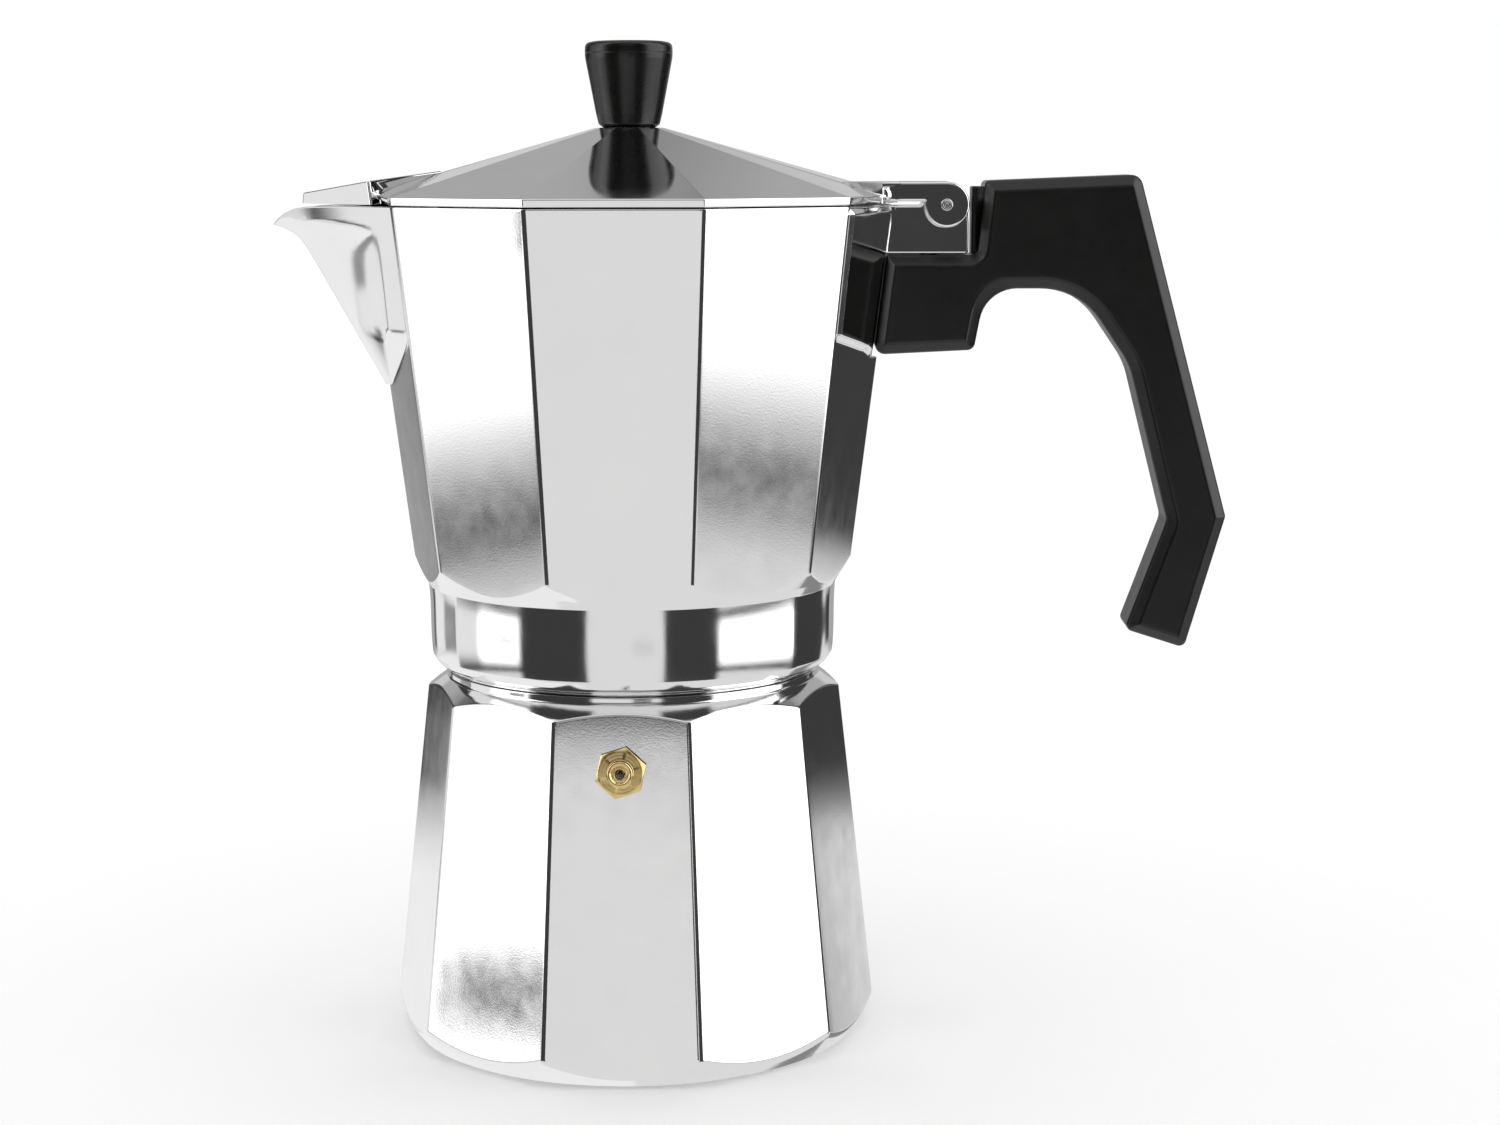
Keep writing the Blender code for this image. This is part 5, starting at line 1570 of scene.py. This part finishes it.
def make_studio():
    """A dome of soft panels and dark gaps that only reflections see, and a white room for the rest."""
    verts, lights = [], []
    for j in range(DOME_UP + 1):
        elevation = -90 + 180 * j / DOME_UP
        for i in range(DOME_ACROSS):
            azimuth = -180 + 360 * i / DOME_ACROSS
            a, e = math.radians(azimuth), math.radians(elevation)
            direction = Vector((math.sin(a) * math.cos(e), -math.cos(a) * math.cos(e), math.sin(e)))
            verts.append(direction * DOME_RADIUS)
            lights.append(studio_light(azimuth, elevation))
    faces = []
    for j in range(DOME_UP):
        low, high = j * DOME_ACROSS, (j + 1) * DOME_ACROSS
        for i in range(DOME_ACROSS):
            n = (i + 1) % DOME_ACROSS
            faces.append((low + i, low + n, high + n, high + i))
    mesh = bpy.data.meshes.new("studio_dome")
    mesh.from_pydata(verts, [], faces)
    layer = mesh.attributes.new("light", "FLOAT", "POINT")
    layer.data.foreach_set("value", lights)
    mesh.materials.append(emission_material("studio_panels"))
    dome = bpy.data.objects.new("studio_dome", mesh)
    dome.location = (0, 0, DOME_CENTRE_Z)
    bpy.context.scene.collection.objects.link(dome)
    dome.visible_camera = False
    dome.visible_diffuse = False
    dome.visible_shadow = False
    dome.visible_transmission = False

    world = bpy.data.worlds.new("white_room")
    world.use_nodes = True
    world.node_tree.nodes["Background"].inputs["Color"].default_value = (1, 1, 1, 1)
    world.node_tree.nodes["Background"].inputs["Strength"].default_value = 1.0
    bpy.context.scene.world = world


def make_floor():
    """A pale matt floor that the polished metal doesn't reflect: the dome has its own floor light."""
    mesh = bpy.data.meshes.new("floor")
    corners = [(x * FLOOR_SIZE, y * FLOOR_SIZE, 0) for x, y in ((-1, -1), (1, -1), (1, 1), (-1, 1))]
    mesh.from_pydata(corners, [], [(0, 1, 2, 3)])
    material = bpy.data.materials.new("pale_floor")
    material.use_nodes = True
    shader = material.node_tree.nodes["Principled BSDF"]
    shader.inputs["Base Color"].default_value = (0.97, 0.97, 0.97, 1)
    shader.inputs["Roughness"].default_value = 0.9
    shader.inputs["Specular IOR Level"].default_value = 0.0
    shader.inputs["Emission Color"].default_value = (1, 1, 1, 1)
    shader.inputs["Emission Strength"].default_value = 0.06
    mesh.materials.append(material)
    floor = bpy.data.objects.new("floor", mesh)
    floor.location = (0, 0, -0.0001)
    bpy.context.scene.collection.objects.link(floor)
    floor.visible_glossy = False


def make_camera():
    """The camera at the photo's viewing angle."""
    camera_data = bpy.data.cameras.new("camera")
    camera_data.lens = CAMERA_LENS
    camera_data.sensor_width = CAMERA_SENSOR
    camera_data.clip_start = 0.01
    camera = bpy.data.objects.new("camera", camera_data)
    heading = Matrix.Rotation(CAMERA_HEADING, 4, "Z")
    pitch = Matrix.Rotation(math.pi / 2 - CAMERA_PITCH, 4, "X")
    roll = Matrix.Rotation(CAMERA_ROLL, 4, "Z")
    camera.matrix_world = Matrix.Translation(CAMERA_PLACE) @ heading @ pitch @ roll
    bpy.context.scene.collection.objects.link(camera)
    bpy.context.scene.camera = camera


make_studio()
make_floor()
make_camera()
bpy.context.scene.view_settings.view_transform = "Standard"
